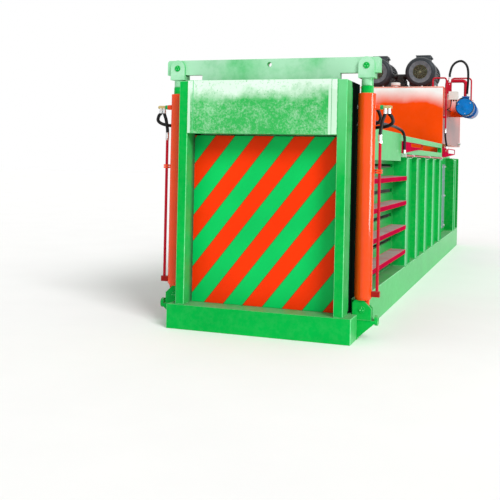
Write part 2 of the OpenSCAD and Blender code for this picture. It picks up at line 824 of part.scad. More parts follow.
// Gate panel: skin, top cap and upright webs
module gate_panel() color(green) from_front() {
  back = gate_y + gate_t - gate_bar_d;
  block([-gate_half, gate_y, gate_z], [gate_half, gate_y + gate_skin, gate_top]);
  block([-gate_half, gate_y, gate_top - gate_cap_t], [gate_half, gate_y + gate_t, gate_top]);
  for (i = [-2:2]) {
    x = i * (gate_half - plate_t / 2) / 2;
    block([x - plate_t / 2, gate_y, gate_z], [x + plate_t / 2, back, gate_top]);
  }
}

// Wire bars on the back of the gate, with grooves level with the wall slots
module gate_bars() color(green) from_front()
  strap_bars(gate_y + gate_t - gate_bar_d, gate_y + gate_t, -gate_half, gate_half,
    gate_z, gate_top - gate_cap_t);

// Ram: box open at the back, with a rod boss and two stiffening frames
module ram_shell() color(dark_green) from_front() {
  y1 = ram_y + ram_len;
  difference() {
    block([-ram_half, ram_front, ram_z], [ram_half, y1, ram_top]);
    block([-ram_half + ram_t, ram_front + 2 * ram_t, ram_z + ram_t],
      [ram_half - ram_t, y1 + cut, ram_top - ram_t]);
  }
  rod_y(0, main_z, ram_front + 2 * ram_t - cut, ram_front + boss_len + 2 * ram_t, boss_r);
  both_sides()
    block([boss_r - ram_t, ram_front + ram_t, main_z - ram_t],
      [ram_half - ram_t / 2, ram_front + boss_len, main_z + ram_t]);
}

// Bars on the ram face, with grooves level with the wall slots
module ram_face() color(grey) from_front() {
  top = ram_knife_top - ram_knife_h;
  strap_bars(ram_y, ram_front, -ram_half, ram_half, ram_z, top);
}

// Ram knife above the face bars
module ram_knife() color(steel) from_front()
  block([-ram_half + 2, ram_y, ram_knife_top - ram_knife_h],
    [ram_half - 2, ram_front, ram_knife_top]);

// Wear strips under the ram
module wear_strips() color(grey) from_front() both_sides()
  block([ram_half * 0.6, ram_front, ram_z - strip_t],
    [ram_half * 0.6 + strip_w, ram_y + ram_len - 50, ram_z]);

// Main rod with its piston
module main_rod() color(steel) from_front() {
  rod_y(0, main_z, ram_front + boss_len + 2 * ram_t, piston_y, main_rod_r);
  rod_y(0, main_z, piston_y, piston_y + main_piston_len, main_bore_r - seat);
}

// Tank stand: three cross members on the rear roof
module tank_stand() color(orange) from_front() {
  stand_d = 100;
  for (k = [0, 0.5, 1]) {
    half = k == 0 ? base_half - 20 : wall_in - 60;
    y = tank_y + k * (tank_len - 2 * stand_d);
    difference() {
      block([-half, y, roof_top], [half, y + stand_d, tank_z]);
      block([-half + tank_t, y + tank_t, roof_top + tank_t],
        [half - tank_t, y + stand_d + cut, tank_z - tank_t]);
    }
  }
}

// Oil tank: open box under its lid, with the bored plate that carries the circulation motor
module oil_tank() color(orange) from_front() {
  plate_y = circ_y + circ_len + 20;
  plate_xz(plate_y, plate_y + plate_t) difference() {
    translate([base_half, circ_z - 125]) square([circ_x + 85 - base_half, 265]);
    translate([circ_x, circ_z]) circle(r = 70 + seat);
  }
  difference() {
    block([-base_half, tank_y, tank_z], [base_half, tank_y + tank_len, tank_top - lid_t]);
    block([-base_half + tank_t, tank_y + tank_t, tank_z + tank_t],
      [base_half - tank_t, tank_y + tank_len - tank_t, tank_top]);
  }
}

// Tank lid with the rails that carry the motors
module tank_lid() color(orange) from_front() {
  block([-base_half, tank_y, tank_top - lid_t], [base_half, tank_y + tank_len, tank_top]);
  for (x = motor_at, k = [-1, 1])
    block([x + k * 150 - 30, motor_y + 20, tank_top],
      [x + k * 150 + 30, motor_y + motor_len + 300, tank_top + rail_h]);
}

// Breather cap on the tank lid
module breather_cap() color(cream) from_front() translate([60, tank_y + 180, tank_top]) {
  cylinder(h = 30, r = 40);
  translate([0, 0, 30]) cylinder(h = 45, r = 68);
}

// Main motor: finned body, end bell, feet, terminal box and fan shaft
module motor_body() {
  core = motor_r - 18;
  end = motor_y + motor_len;
  rod_y(0, 0, motor_y, motor_y + 60, motor_r);
  rod_y(0, 0, motor_y, end, core);
  rod_y(0, 0, end - 60, end, motor_r);
  rod_y(0, 0, cowl_y + 45, motor_y, shaft_r);
  for (i = [0:fin_count - 1])
    rotate([0, 360 * (i + 0.5) / fin_count, 0])
      block([-3, motor_y + 40, core - 5], [3, end - 40, motor_r - 1]);
  for (k = [-1, 1])
    block([k * 150 - 45, motor_y + 80, rail_h - motor_rise],
      [k * 150 + 45, end - 60, -core * 0.6]);
  block([-110, motor_y + 180, core - 20], [110, motor_y + 400, motor_r + 60]);
}
module motor_right() color(grey) from_front() translate([motor_at[1], 0, motor_z])
  motor_body();
module motor_left() color(grey) from_front() translate([motor_at[0], 0, motor_z])
  motor_body();

// Fan cowl: dished cup with a raised ring round a wire grille
module fan_cowl() {
  inner = motor_r + seat;
  rim_r = (grille_r + cowl_r) / 2;
  translate([0, cowl_y, 0]) rotate([-90, 0, 0]) {
    rotate_extrude()
      polygon([[grille_r, 10], [rim_r, 1], [rim_r + 10, 0], [cowl_r - 18, 16],
        [cowl_r, 44], [cowl_r, cowl_len], [inner, cowl_len], [inner, 60],
        [cowl_r - 19, 40], [rim_r, 14], [grille_r, 18]]);
    for (i = [1:5])
      rotate_extrude() translate([grille_r * i / 6, 11]) square([5, 5]);
    for (i = [0:5])
      rotate([0, 0, 60 * i + 30]) translate([0, -3, 12]) cube([grille_r + 8, 6, 4.5]);
    translate([0, 0, 10]) cylinder(h = 9, r = 14);
  }
}
module cowl_right() color(grey) from_front() translate([motor_at[1], 0, motor_z])
  fan_cowl();
module cowl_left() color(grey) from_front() translate([motor_at[0], 0, motor_z])
  fan_cowl();

// Radial fan wheel on a bored hub
module fan_wheel(y, len, hub, bore, tip, blades) {
  difference() {
    union() {
      rod_y(0, 0, y, y + len, hub);
      rod_y(0, 0, y + len - 6, y + len, tip * 0.8);
      for (i = [0:blades - 1])
        rotate([0, 360 * i / blades, 0]) block([hub - 5, y, -3], [tip, y + len, 3]);
    }
    rod_y(0, 0, y - cut, y + len + cut, bore + shaft_gap);
  }
}
module motor_fan() fan_wheel(cowl_y + 60, 70, 45, shaft_r, cowl_r - 44, blade_count);
module fan_right() color(grey) from_front() translate([motor_at[1], 0, motor_z])
  motor_fan();
module fan_left() color(grey) from_front() translate([motor_at[0], 0, motor_z])
  motor_fan();

// Pumps on the drive ends of the motors: bell housing, pump body and ports
module main_pumps() color(rubber) from_front() for (x = motor_at) translate([x, 0, motor_z]) {
  y0 = motor_y + motor_len;
  rod_y(0, 0, y0, y0 + 40, motor_r - 10);
  rod_y(0, 0, y0 + 40, y0 + 180, motor_r - 70);
  rod_y(0, 0, y0 + 180, y0 + 210, motor_r - 40);
  block([-95, y0 + 210, -110], [95, y0 + 450, 110]);
  block([-60, y0 + 260, 110], [60, y0 + 380, 150]);
  for (k = [-1, 1])
    block([k * 150 - 30, y0 + 20, rail_h - motor_rise], [k * 150 + 30, y0 + 60, -100]);
}

// Valve block between the motors, with stacked valves and solenoids
module valve_block() color(rubber) from_front() translate([-motor_shift, 0, 0]) {
  low = tank_top;
  y0 = cowl_y + 260;
  block([-80, y0, low], [80, y0 + 420, low + 150]);
  for (i = [0:2]) {
    y = y0 + 30 + i * 130;
    block([-55, y, low + 150], [55, y + 90, low + 230]);
    translate([-70, y + 45, low + 275]) rotate([0, 90, 0]) cylinder(h = 140, r = 32);
    block([-40, y + 10, low + 230], [40, y + 80, low + 275]);
  }
}

// Circulation motor and its pump, hung from the bored plate on the tank side
module circulation_motor() color(blue) from_front() translate([circ_x, 0, circ_z]) {
  body = circ_r - 10;
  y0 = circ_y + 90;
  end = circ_y + circ_len;
  pump_end = end + 610;
  difference() {
    rod_y(0, 0, circ_y, y0 + 20, circ_r);
    rod_y(0, 0, circ_y + 6, y0, circ_r - 5);
    for (i = [0:11])
      rotate([0, 30 * i, 0]) block([circ_r - 12, circ_y + 24, -6], [circ_r + 1, circ_y + 62, 6]);
  }
  rod_y(0, 0, circ_y + 20, y0 + 10, circ_shaft_r);
  rod_y(0, 0, y0, end, body - 8);
  for (i = [0:23])
    rotate([0, 15 * i, 0]) block([-2, y0, body - 12], [2, end - 20, body]);
  rod_y(0, 0, end, end + 20, circ_r + 6);
  rod_y(0, 0, end + 20, end + 110, 70);
  rod_y(0, 0, end + 110, pump_end, pump_r);
  block([-50, y0 + 60, body - 20], [50, y0 + 150, body + 40]);
}
module circulation_fan() color(blue) from_front() translate([circ_x, 0, circ_z])
  fan_wheel(circ_y + 24, 40, 26, circ_shaft_r, circ_r - 26, 6);

// Junction box on a stand-off from the tank side
module junction_box() color(cream) from_front() {
  x0 = base_half + 43;
  y0 = circ_y - 150;
  z0 = circ_z + 100;
  block([x0, y0, z0], [x0 + box_w, y0 + box_d, z0 + box_h]);
  block([base_half, y0 + 20, z0 + box_h / 4], [x0, y0 + box_d - 20, z0 + box_h * 0.6]);
}

// Points of the pipes and hoses, chosen along their real routes
stub_len = 36;
nut_x = lift_x + lift_r + stub_len;
port_inset = [36, 110];
port_z = [lift_z + port_inset[0], lift_top - port_inset[1]];
port_half = 22;
riser_low = port_z[0] + port_half;
riser_top = lift_z + 1236;
ferrule_len = 54;
riser_path = [[riser_x, lift_y, riser_low], [riser_x, lift_y, riser_top]];
wall_pipe_x = base_half + 15;
wall_pipe_z = band_z - 14;
wall_pipe = [[wall_pipe_x, feed_y + 45, wall_pipe_z],
  [wall_pipe_x, feed_y + rim_len - 55, wall_pipe_z]];
corner_pipe = [[615, 5950, tank_top], [615, 5950, tank_top + 129], [806, 5950, tank_top + 129],
  [806, 5950, 1905]];
thick_pipe = [[690, 7100, tank_top], [690, 7100, tank_top + 195], [980, 7100, tank_top + 195],
  [980, 7100, circ_z + pump_r]];
loop_pipe = [[740, 7250, tank_top], [740, 7250, tank_top + 252], [1053, 7250, tank_top + 252],
  [1053, 7250, circ_z + pump_r]];
tee_z = [port_z[1] - 30, port_z[1] - 8];
tee_x = [nut_x + 38, nut_x + 69];
roof_port_h = 20;
roof_port = [600, 760, roof_top + roof_port_h];
beam_port = [660, 1000, roof_z + shear_h + roof_port_h];
post_port = [[column_out, 400, 1850], [column_out, 410, 1712]];
hose_down = [[riser_x, lift_y, riser_top + ferrule_len], [riser_x, lift_y, 1632],
  [riser_x, lift_y, 1645], [929, lift_y, 1688], [938, lift_y, 1734], [950, lift_y, 1768],
  [tee_x[0], lift_y, 1788], [tee_x[0], lift_y, 1798], [tee_x[0], lift_y, tee_z[0]]];
hose_back = [[tee_x[1], lift_y, tee_z[0]], [tee_x[1], lift_y, 1798], [tee_x[1], lift_y, 1788],
  [1008, 264, 1764], [1018, 272, 1726], [992, 288, 1700], [940, 312, 1686], [868, 372, 1682],
  [770, 540, 1668], [655, 700, 1640], [roof_port[0], roof_port[1], 1590],
  [roof_port[0], roof_port[1], 1567], roof_port];
hose_cross = [beam_port, [660, 1000, 1730], [660, 1000, 1742], [690, 1060, 1768],
  [735, 1250, 1760], [757, 1650, 1758], [752, 1950, 1758], [766, 2150, 1742],
  [790, 2212, 1716], [803, 2236, 1660], [804, 2242, 1600], [804, 2242, 1560],
  [804, 2242, 1530], [804, 2242, 1500]];
hose_side = [[725, 400, 1850], [740, 400, 1850], [756, 400, 1850], [830, 400, 1848],
  [872, 400, 1824], [888, 400, 1791], [896, 402, 1755], [880, 405, 1726], [840, 408, 1714],
  [800, 410, 1712], [756, 410, 1712], [740, 410, 1712], [725, 410, 1712]];
hose_arc = [[805, 6400, 2700], [805, 6400, 2720], [805, 6400, 2745], [834, 6400, 2851],
  [890, 6400, 2915], [970, 6400, 2936], [1035, 6400, 2890], [1068, 6400, 2800],
  [1070, 6430, 2650], [1052, 6535, 2500], [1050, 6540, 2450], [1050, 6540, 2431],
  [1050, 6540, 2412]];
hose_corner = [[806, 5950, 1845], [806, 5950, 1825], [806, 5950, 1805], [812, 5985, 1730],
  [818, 6026, 1670], [820, 6030, 1650], [820, 6030, 1635], [820, 6030, 1620]];

// Hard pipes: risers on the lift cylinders, wall pipes and the tank pipes
module hard_pipes() color(red) from_front() {
  both_sides() {
    tube(riser_path, riser_r, 12);
    tube(wall_pipe, thin_r);
  }
  tube(bent_path(corner_pipe, 40), riser_r);
  tube(bent_path(thick_pipe, 60), thick_r, 10);
  tube(bent_path(loop_pipe, 60), riser_r);
}

// Fittings: riser ferrules, port nuts and tees, ports, pipe clamps and end blocks
module hose_fittings() color(cream) from_front() {
  arc_low = tank_top + 105;
  clamp = 15;
  both_sides() {
    translate([riser_x, lift_y, riser_top]) cylinder(h = ferrule_len, r = hose_r + 2);
    translate([nut_x, lift_y, port_z[1]]) rotate([0, 90, 0]) cylinder(h = 26, r = 20, $fn = 6);
    translate([nut_x + 26, lift_y, port_z[1]]) rotate([0, 90, 0]) cylinder(h = 59, r = 15);
    for (x = tee_x)
      translate([x, lift_y, tee_z[0]]) cylinder(h = tee_z[1] - tee_z[0], r = hose_r - 1);
    for (p = [roof_port, beam_port])
      translate([p[0], p[1], p[2] - roof_port_h]) cylinder(h = roof_port_h, r = 22);
    for (p = post_port)
      translate(p) rotate([0, 90, 0]) cylinder(h = 20, r = 20, $fn = 6);
    block([base_half, wall_pipe[0][1] - 36, wall_pipe_z - 18],
      [base_half + 48, wall_pipe[0][1], wall_pipe_z + 20]);
    for (k = [0.2, 0.6, 0.98])
      let (y = wall_pipe[0][1] + k * (wall_pipe[1][1] - wall_pipe[0][1])) difference() {
        block([base_half, y - clamp, wall_pipe_z - 20],
          [wall_pipe_x + thin_r + 6, y + clamp, wall_pipe_z + 20]);
        rod_y(wall_pipe_x, wall_pipe_z, y - clamp - cut, y + clamp + cut, thin_r + seat);
      }
  }
  translate([corner_pipe[3][0], corner_pipe[3][1], 1845]) cylinder(h = 60, r = hose_r + 2);
  block([base_half, 5930, 2060], [corner_pipe[3][0] - riser_r - seat, 5970, 2090]);
  block([base_half + lug_t, 6010, 1565], [840, 6050, 1620]);
  block([base_half, 6375, tank_top - 60], [835, 6425, arc_low]);
  translate([hose_arc[0][0], hose_arc[0][1], arc_low])
    cylinder(h = hose_arc[0][2] - arc_low, r = arc_r + 2);
}

// Hoses from the tees to the roof, over the shear beam and at the tank corner
module hoses() color(rubber) from_front() {
  both_sides() for (route = [hose_down, hose_back, hose_cross, hose_side])
    tube(smooth_path(route, 3), hose_r);
  tube(smooth_path(hose_arc, 3), arc_r);
  tube(smooth_path(hose_corner, 3), hose_r);
}

front_beam();
skid_left();
skid_right();
floor_bearers();
floor_plate();
lift_feet();
foot_pins();
strap_wall_left();
strap_wall_right();
strap_shelves_left();
strap_shelves_right();
side_walls();
wall_ribs_left();
wall_ribs_right();
access_covers();
gate_columns();
mouth_posts();
header_box();
roof_plates();
shear_beam();
fixed_knife();
hopper_rim_left();
hopper_rim_right();
rim_lugs();
rear_head();
main_barrel();
glands();
lift_barrel_left();
lift_barrel_right();
tank_stand();
oil_tank();
tank_lid();
breather_cap();
motor_left();
motor_right();
cowl_left();
cowl_right();
main_pumps();
valve_block();
circulation_motor();
junction_box();
hard_pipes();
hose_fittings();
hoses();
gate_panel();
gate_bars();
gate_yoke();
rod_clevises();
clevis_pins();
lift_rods();
ram_shell();
ram_face();
ram_knife();
wear_strips();
main_rod();
fan_left();
fan_right();
circulation_fan();
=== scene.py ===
import math
import random

import bpy
import bmesh
from mathutils import Matrix, Vector


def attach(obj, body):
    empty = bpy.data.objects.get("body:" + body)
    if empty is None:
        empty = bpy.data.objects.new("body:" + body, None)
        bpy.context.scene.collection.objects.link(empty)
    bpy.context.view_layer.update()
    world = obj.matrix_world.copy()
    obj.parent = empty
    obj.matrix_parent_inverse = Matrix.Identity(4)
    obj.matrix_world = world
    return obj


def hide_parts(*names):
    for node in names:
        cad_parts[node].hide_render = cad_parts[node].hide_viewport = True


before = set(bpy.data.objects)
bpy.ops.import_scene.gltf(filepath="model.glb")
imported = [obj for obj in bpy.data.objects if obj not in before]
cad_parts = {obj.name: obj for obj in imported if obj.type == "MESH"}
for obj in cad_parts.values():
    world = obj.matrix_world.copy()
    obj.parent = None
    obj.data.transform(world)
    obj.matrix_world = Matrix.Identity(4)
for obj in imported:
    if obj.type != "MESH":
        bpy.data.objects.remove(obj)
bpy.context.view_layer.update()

# Base frame of the baler: a folded front cross beam, two channel skids and I-section
# bearers under a floor plate, all cut from mill plate, welded together and sprayed green.
# Every machine-wide length is given in millimetres, with y counted from the front face.
FRONT_FACE = 110
UP, DOWN, FORWARD, BACKWARD = (0, 0, 1), (0, 0, -1), (0, -1, 0), (0, 1, 0)


def at(x, y, z):
    return Vector((x, y - FRONT_FACE, z)) / 1000


class Reading:
    """A number, vector or colour that a material works out at each spot of a surface."""

    def __init__(self, tree, socket):
        self.tree, self.socket = tree, socket

    def __add__(self, other):
        return worked("ADD", self, other)

    def __sub__(self, other):
        return worked("SUBTRACT", self, other)

    def __rsub__(self, other):
        return worked("SUBTRACT", other, self)

    def __mul__(self, other):
        return worked("MULTIPLY", self, other)

    def __truediv__(self, other):
        return worked("DIVIDE", self, other)

    def __pow__(self, other):
        return worked("POWER", self, other)

    def __gt__(self, other):
        return worked("GREATER_THAN", self, other)

    def __lt__(self, other):
        return worked("LESS_THAN", self, other)

    def __abs__(self):
        return worked("ABSOLUTE", self)

    def held(self):
        """Kept between 0 and 1."""
        self.socket.node.use_clamp = True
        return self

    def into(self, node, name):
        self.tree.links.new(self.socket, node.inputs[name])


def wired(tree, kind, inputs=(), **settings):
    """A shader node with its sockets filled by numbers or by readings."""
    node = tree.nodes.new(kind)
    for key, value in settings.items():
        setattr(node, key, value)
    for key, value in dict(inputs).items():
        if isinstance(value, Reading):
            value.into(node, key)
        else:
            node.inputs[key].default_value = value
    return node


def read(tree, kind, inputs=(), output=0, **settings):
    return Reading(tree, wired(tree, kind, inputs, **settings).outputs[output])


def worked(operation, *values):
    """One sum on readings and plain numbers."""
    tree = next(value.tree for value in values if isinstance(value, Reading))
    return read(tree, "ShaderNodeMath", enumerate(values), operation=operation)


def blended(share, a, b, mode="MIX"):
    """Colour a passing into colour b where share goes from 0 to 1."""
    tree = next(value.tree for value in (share, a, b) if isinstance(value, Reading))
    return read(tree, "ShaderNodeMix", {0: share, 6: a, 7: b}, 2, data_type="RGBA",
                blend_type=mode)


def cloud(where, scale, detail, rough=0.55):
    """Uneven patches, more to the metre as the scale goes up."""
    return read(where.tree, "ShaderNodeTexNoise", {"Vector": where, "Scale": scale,
                                                   "Detail": detail, "Roughness": rough}, "Fac")


def band(value, low, high):
    """From 0 at the low value to 1 at the high one."""
    return read(value.tree, "ShaderNodeMapRange", {"Value": value, "From Min": low,
                                                   "From Max": high}, "Result")


def bump(height, strength, distance, under=None):
    inputs = {"Height": height, "Strength": strength, "Distance": distance}
    if under:
        inputs["Normal"] = under
    return read(height.tree, "ShaderNodeBump", inputs)


def axes(vector):
    parts = wired(vector.tree, "ShaderNodeSeparateXYZ", {0: vector})
    return [Reading(vector.tree, part) for part in parts.outputs]


def facing(where, axis):
    """How far the surface is turned toward the plus end of an axis."""
    normal = read(where.tree, "ShaderNodeNewGeometry", output="Normal")
    return axes(normal)["XYZ".index(axis)]


def rgb(colour, gain=1.0):
    return tuple(min(1.0, c * gain) for c in colour) + (1.0,)


def bare_material(name):
    material = bpy.data.materials.new(name)
    material.use_nodes = True
    tree = material.node_tree
    tree.nodes.clear()
    shader = wired(tree, "ShaderNodeBsdfPrincipled")
    out = wired(tree, "ShaderNodeOutputMaterial")
    tree.links.new(shader.outputs[0], out.inputs[0])
    return material, shader, read(tree, "ShaderNodeTexCoord", output="Object")


DUST = (0.40, 0.39, 0.36)


def enamel(name, colour, gloss=0.30, dust=0.4, chips=0.0, primer=(0.20, 0.10, 0.06),
           pale=0.04, sides=0.0, pattern=None, peel=0.0, ripple=0.3, chalk=(0.55, 0.80, 0.60),
           shine=0.22, coat=0.0):
    """Sprayed machine paint: chalky haze, settled dust, chips to the primer, orange peel,
    painted side light.
    """
    material, shader, where = bare_material(name)
    base = pattern(where) if pattern else rgb(colour)
    broad = cloud(where, 1.7, 2.0)
    fine = cloud(where, 21.0, 5.0, 0.65)
    shade = blended(band(broad, 0.3, 0.7), rgb((0.82, 0.82, 0.82)), rgb((1.0, 1.0, 1.0)))
    base = blended(1.0, base, shade, "MULTIPLY")
    chalk_haze_and_side_light = band(fine, 0.42, 0.75) * pale
    # Faces turned to either side are paled by sides: painted side light.
    if sides:
        turned = band(abs(facing(where, "X")), 0.6, 0.95)
        chalk_haze_and_side_light = (chalk_haze_and_side_light + turned * (fine * 0.9 + 0.45) * sides).held()
    base = blended(chalk_haze_and_side_light, base, rgb(chalk))
    settled = band(cloud(where, 5.0, 6.0, 0.7), 0.30 - 0.3 * dust, 0.62)
    grit = settled * band(facing(where, "Z"), 0.55, 0.98) * dust
    base = blended(grit, base, rgb(DUST))
    rough = (grit * 0.5 + gloss).held()
    if chips:
        flakes = band(cloud(where, 46.0, 4.0, 0.7), 0.70 - 0.22 * chips, 0.74 - 0.22 * chips)
        base = blended(flakes, base, rgb(primer))
        rough = (rough + flakes * 0.3).held()
    skin = bump(cloud(where, 170.0, 0.0), peel, 0.0005) if peel else None
    bump(cloud(where, 3.1, 2.0), ripple, 0.006, skin).into(shader, "Normal")
    base.into(shader, "Base Color")
    rough.into(shader, "Roughness")
    shader.inputs["Specular IOR Level"].default_value = shine
    peak = max(colour)
    shader.inputs["Specular Tint"].default_value = rgb([0.10 + 0.9 * c / peak for c in colour])
    shader.inputs["Coat Weight"].default_value = coat
    shader.inputs["Coat Roughness"].default_value = 0.10
    return material


GREEN = (0.002, 0.43, 0.060)
LIGHT_GREEN = (0.34, 0.84, 0.46)
# Where sides is set, faces turned to either side come out paler: painted side light.
green = enamel("green enamel", GREEN, sides=0.18, chalk=LIGHT_GREEN, shine=0.09)
# The edge green is lighter than the faces: painted highlight on the broken edges, with chips to
# the primer.
green_edge = enamel("green enamel edge", (0.10, 0.66, 0.22), chips=0.2, pale=0.3, sides=0.2,
                    primer=(0.32, 0.34, 0.30))
# A darker copy of the green enamel with more dust: painted shade on the bearers under the floor
# plate.
painted_shade_green = enamel("green enamel, painted shade underneath", (0.003, 0.26, 0.04), gloss=0.5, dust=0.8)


# Two faces that meet at more than this angle have a real corner between them.
FOLD = math.radians(35)


def broken_edges(piece, edge, material=-1):
    """Sharp edges taken off by a small bevel, as with a grinder."""
    bevel = piece.modifiers.new("broken edges", "BEVEL")
    bevel.width = edge / 1000
    bevel.segments = 2
    bevel.limit_method = "ANGLE"
    bevel.angle_limit = FOLD
    bevel.harden_normals = True
    bevel.material = material


def dressed(node, *materials, edge, flat=False):
    """Paint one CAD node: faces in the first material, broken edges in the last."""
    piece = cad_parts[node]
    piece.data.materials.clear()
    for material in materials:
        piece.data.materials.append(material)
    for polygon in piece.data.polygons:
        polygon.material_index = 0
    weld = piece.modifiers.new("closed seams", "WELD")
    weld.merge_threshold = 0.00002
    if flat:
        sheet = piece.modifiers.new("one face for each flat", "DECIMATE")
        sheet.decimate_type = "DISSOLVE"
        sheet.angle_limit = math.radians(0.1)
    broken_edges(piece, edge, len(materials) - 1)


class Stock:
    """Bar, tube and sheet worked up into one piece; millimetres, y from the front face."""

    def __init__(self):
        self.points, self.faces, self.surfaces = [], [], []

    def add(self, points, faces, surface=None):
        start = len(self.points)
        self.points += [Vector(p) for p in points]
        self.faces += [[start + i for i in face] for face in faces]
        self.surfaces += [surface] * len(faces)

    def block(self, low, high, surface=None):
        (a, b, c), (d, e, f) = low, high
        self.add([(a, b, c), (d, b, c), (d, e, c), (a, e, c), (a, b, f), (d, b, f), (d, e, f),
                  (a, e, f)], [(3, 2, 1, 0), (4, 5, 6, 7), (0, 1, 5, 4), (1, 2, 6, 5),
                               (2, 3, 7, 6), (3, 0, 4, 7)], surface)

    def turned(self, foot, axis, profile, sides, surface=None, twist=0.0, closed=False):
        """A form from the lathe: distances along the axis, each with its radius."""
        axis = Vector(axis).normalized()
        side = axis.orthogonal().normalized()
        if abs(axis.z) < 0.9:
            side = axis.cross(Vector(UP)).normalized()
        other = axis.cross(side)
        points, faces = [], []
        for along, radius in profile:
            for k in range(sides):
                turn = twist + 2 * math.pi * k / sides
                points.append(Vector(foot) + axis * along + radius
                              * (side * math.cos(turn) + other * math.sin(turn)))
        for ring in range(len(profile) - 1):
            for k in range(sides):
                a, b = ring * sides + k, ring * sides + (k + 1) % sides
                faces.append((a, b, b + sides, a + sides))
        last = (len(profile) - 1) * sides
        if closed:
            faces += [(last + k, last + (k + 1) % sides, (k + 1) % sides, k)
                      for k in range(sides)]
        elif profile[0][1] > 0.01:
            faces.append(tuple(range(sides - 1, -1, -1)))
        if profile[-1][1] > 0.01 and not closed:
            faces.append(tuple(range(last, last + sides)))
        self.add(points, faces, surface)

    def bolt(self, foot, axis, flats, surface=None, washer=True):
        """A hexagon head of the given width across flats."""
        r, h = flats * 0.577, flats * 0.62
        if washer:
            self.turned(foot, axis, [(0, r * 1.22), (flats * 0.09, r * 1.22),
                                     (flats * 0.13, r * 1.16)], 20, surface)
        base = Vector(foot) + Vector(axis).normalized() * (flats * 0.1 if washer else 0)
        self.turned(base, axis, [(0, r), (h * 0.86, r), (h, r * 0.86), (h, r * 0.3)], 6, surface,
                    twist=random.uniform(0, 1))

    def swept(self, path, radius, sides=14, surface=None):
        """Tube or wire along a path."""
        path = [Vector(p) for p in path]
        count = len(path)
        ways = [(path[min(i + 1, count - 1)] - path[max(i - 1, 0)]).normalized()
                for i in range(count)]
        side = ways[0].orthogonal().normalized()
        points, faces = [], []
        for i, (point, way) in enumerate(zip(path, ways)):
            side = (side - way * side.dot(way)).normalized()
            other = way.cross(side)
            r = radius(i / (count - 1)) if callable(radius) else radius
            for k in range(sides):
                turn = 2 * math.pi * k / sides
                points.append(point + r * (side * math.cos(turn) + other * math.sin(turn)))
        for i in range(count - 1):
            for k in range(sides):
                a, b = i * sides + k, i * sides + (k + 1) % sides
                faces.append((a, b, b + sides, a + sides))
        faces.append(tuple(range(sides - 1, -1, -1)))
        faces.append(tuple(range((count - 1) * sides, count * sides)))
        self.add(points, faces, surface)

    def hoop(self, centre, axis, radius, wire, sides=48, surface=None):
        """A ring bent from wire."""
        ring = [(wire * math.cos(a), radius + wire * math.sin(a))
                for a in (math.pi / 3 * i for i in range(6))]
        self.turned(centre, axis, ring, sides, surface, closed=True)

    def bead(self, start, end, size):
        """A weld bead of uneven width."""
        start, end = Vector(start), Vector(end)
        steps = max(2, int((end - start).length / 14))
        path = [start.lerp(end, i / steps) for i in range(steps + 1)]
        sizes = [size * random.uniform(0.8, 1.12) for _ in path]
        self.swept(path, lambda share: sizes[round(share * steps)], 6)

    def finish(self, name, body, slot, *materials, edge=0.0):
        mesh = bpy.data.meshes.new(name)
        mesh.from_pydata([at(*p) for p in self.points], [], self.faces)
        mesh.update()
        work = bmesh.new()
        work.from_mesh(mesh)
        bmesh.ops.recalc_face_normals(work, faces=work.faces)
        work.to_mesh(mesh)
        work.free()
        for material in materials:
            mesh.materials.append(material)
        slots = {material: number for number, material in enumerate(materials)}
        for polygon, surface in zip(mesh.polygons, self.surfaces):
            polygon.material_index = slots.get(surface, 0)
            polygon.use_smooth = True
        mesh.set_sharp_from_angle(angle=FOLD)
        piece = bpy.data.objects.new(name, mesh)
        bpy.context.scene.collection.objects.link(piece)
        if edge:
            broken_edges(piece, edge)
        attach(piece, body)
        return piece


# Bolt heads stop at any angle and weld beads vary in width: both are drawn from this seed.
random.seed(7)
for node in ("front_beam", "skid_left", "skid_right", "lift_feet"):
    dressed(node, green, green_edge, edge=5)
dressed("floor_bearers", painted_shade_green, edge=2)


def rolled_steel(name, colour, rust, metallic=0.85, rough=0.45, grain=(4, 60, 4)):
    """Bare or plated steel with drawn lines and rust stains."""
    material, shader, where = bare_material(name)
    along = read(where.tree, "ShaderNodeMapping", {"Vector": where, "Scale": grain})
    lines = cloud(along, 6.0, 4.0, 0.6)
    stain = band(cloud(where, 7.0, 7.0, 0.68), 0.5, 0.72) * rust
    base = blended(band(lines, 0.3, 0.7), rgb(colour, 0.78), rgb(colour, 1.15))
    blended(stain, base, rgb((0.26, 0.11, 0.045))).into(shader, "Base Color")
    (lines * 0.25 + (rough - 0.12) + stain * 0.5).held().into(shader, "Roughness")
    bump(lines, 0.2, 0.0008).into(shader, "Normal")
    shader.inputs["Metallic"].default_value = metallic
    return material


worn_plate = rolled_steel("worn floor plate", (0.30, 0.30, 0.30), rust=0.55)
ground_steel = rolled_steel("ground steel", (0.62, 0.62, 0.64), rust=0.06, metallic=1.0,
                            rough=0.28, grain=(30, 4, 30))
weld_metal = enamel("painted weld", (0.01, 0.42, 0.08), gloss=0.42, pale=0.15, peel=0.9)
dressed("floor_plate", worn_plate, edge=2)
dressed("foot_pins", green, green_edge, edge=2)

BASE_HALF = 775
seams = Stock()
for side in (-1, 1):
    for z in (6, 194):
        seams.bead((side * 600, 218, z), (side * 622, 222, z), 7)
    seams.bead((side * BASE_HALF, 223, 22), (side * BASE_HALF, 223, 158), 4)
    seams.bead((side * 640, 222, 202), (side * 726, 222, 202), 5)
    for y in (219, 246, 278, 305):
        seams.bead((side * 740, y, 162), (side * 884, y, 162), 4)
seams.finish("base_seams", "frame", "green", weld_metal)
LIFT_X, LIFT_Y = 812, 262
NIPPLE = [(0, 4), (3, 4), (4, 2.5), (7, 2.5), (8, 3.2), (10, 2.6), (11, 1)]


def keep_pin(piece, side, y, z):
    """Two keeper screws and a grease nipple on the end of a pin."""
    for x in (-11, 11):
        piece.bolt((side * LIFT_X + x, y, z), FORWARD, 9, washer=False)
    piece.turned((side * LIFT_X, y, z + 19), FORWARD, NIPPLE, 12)


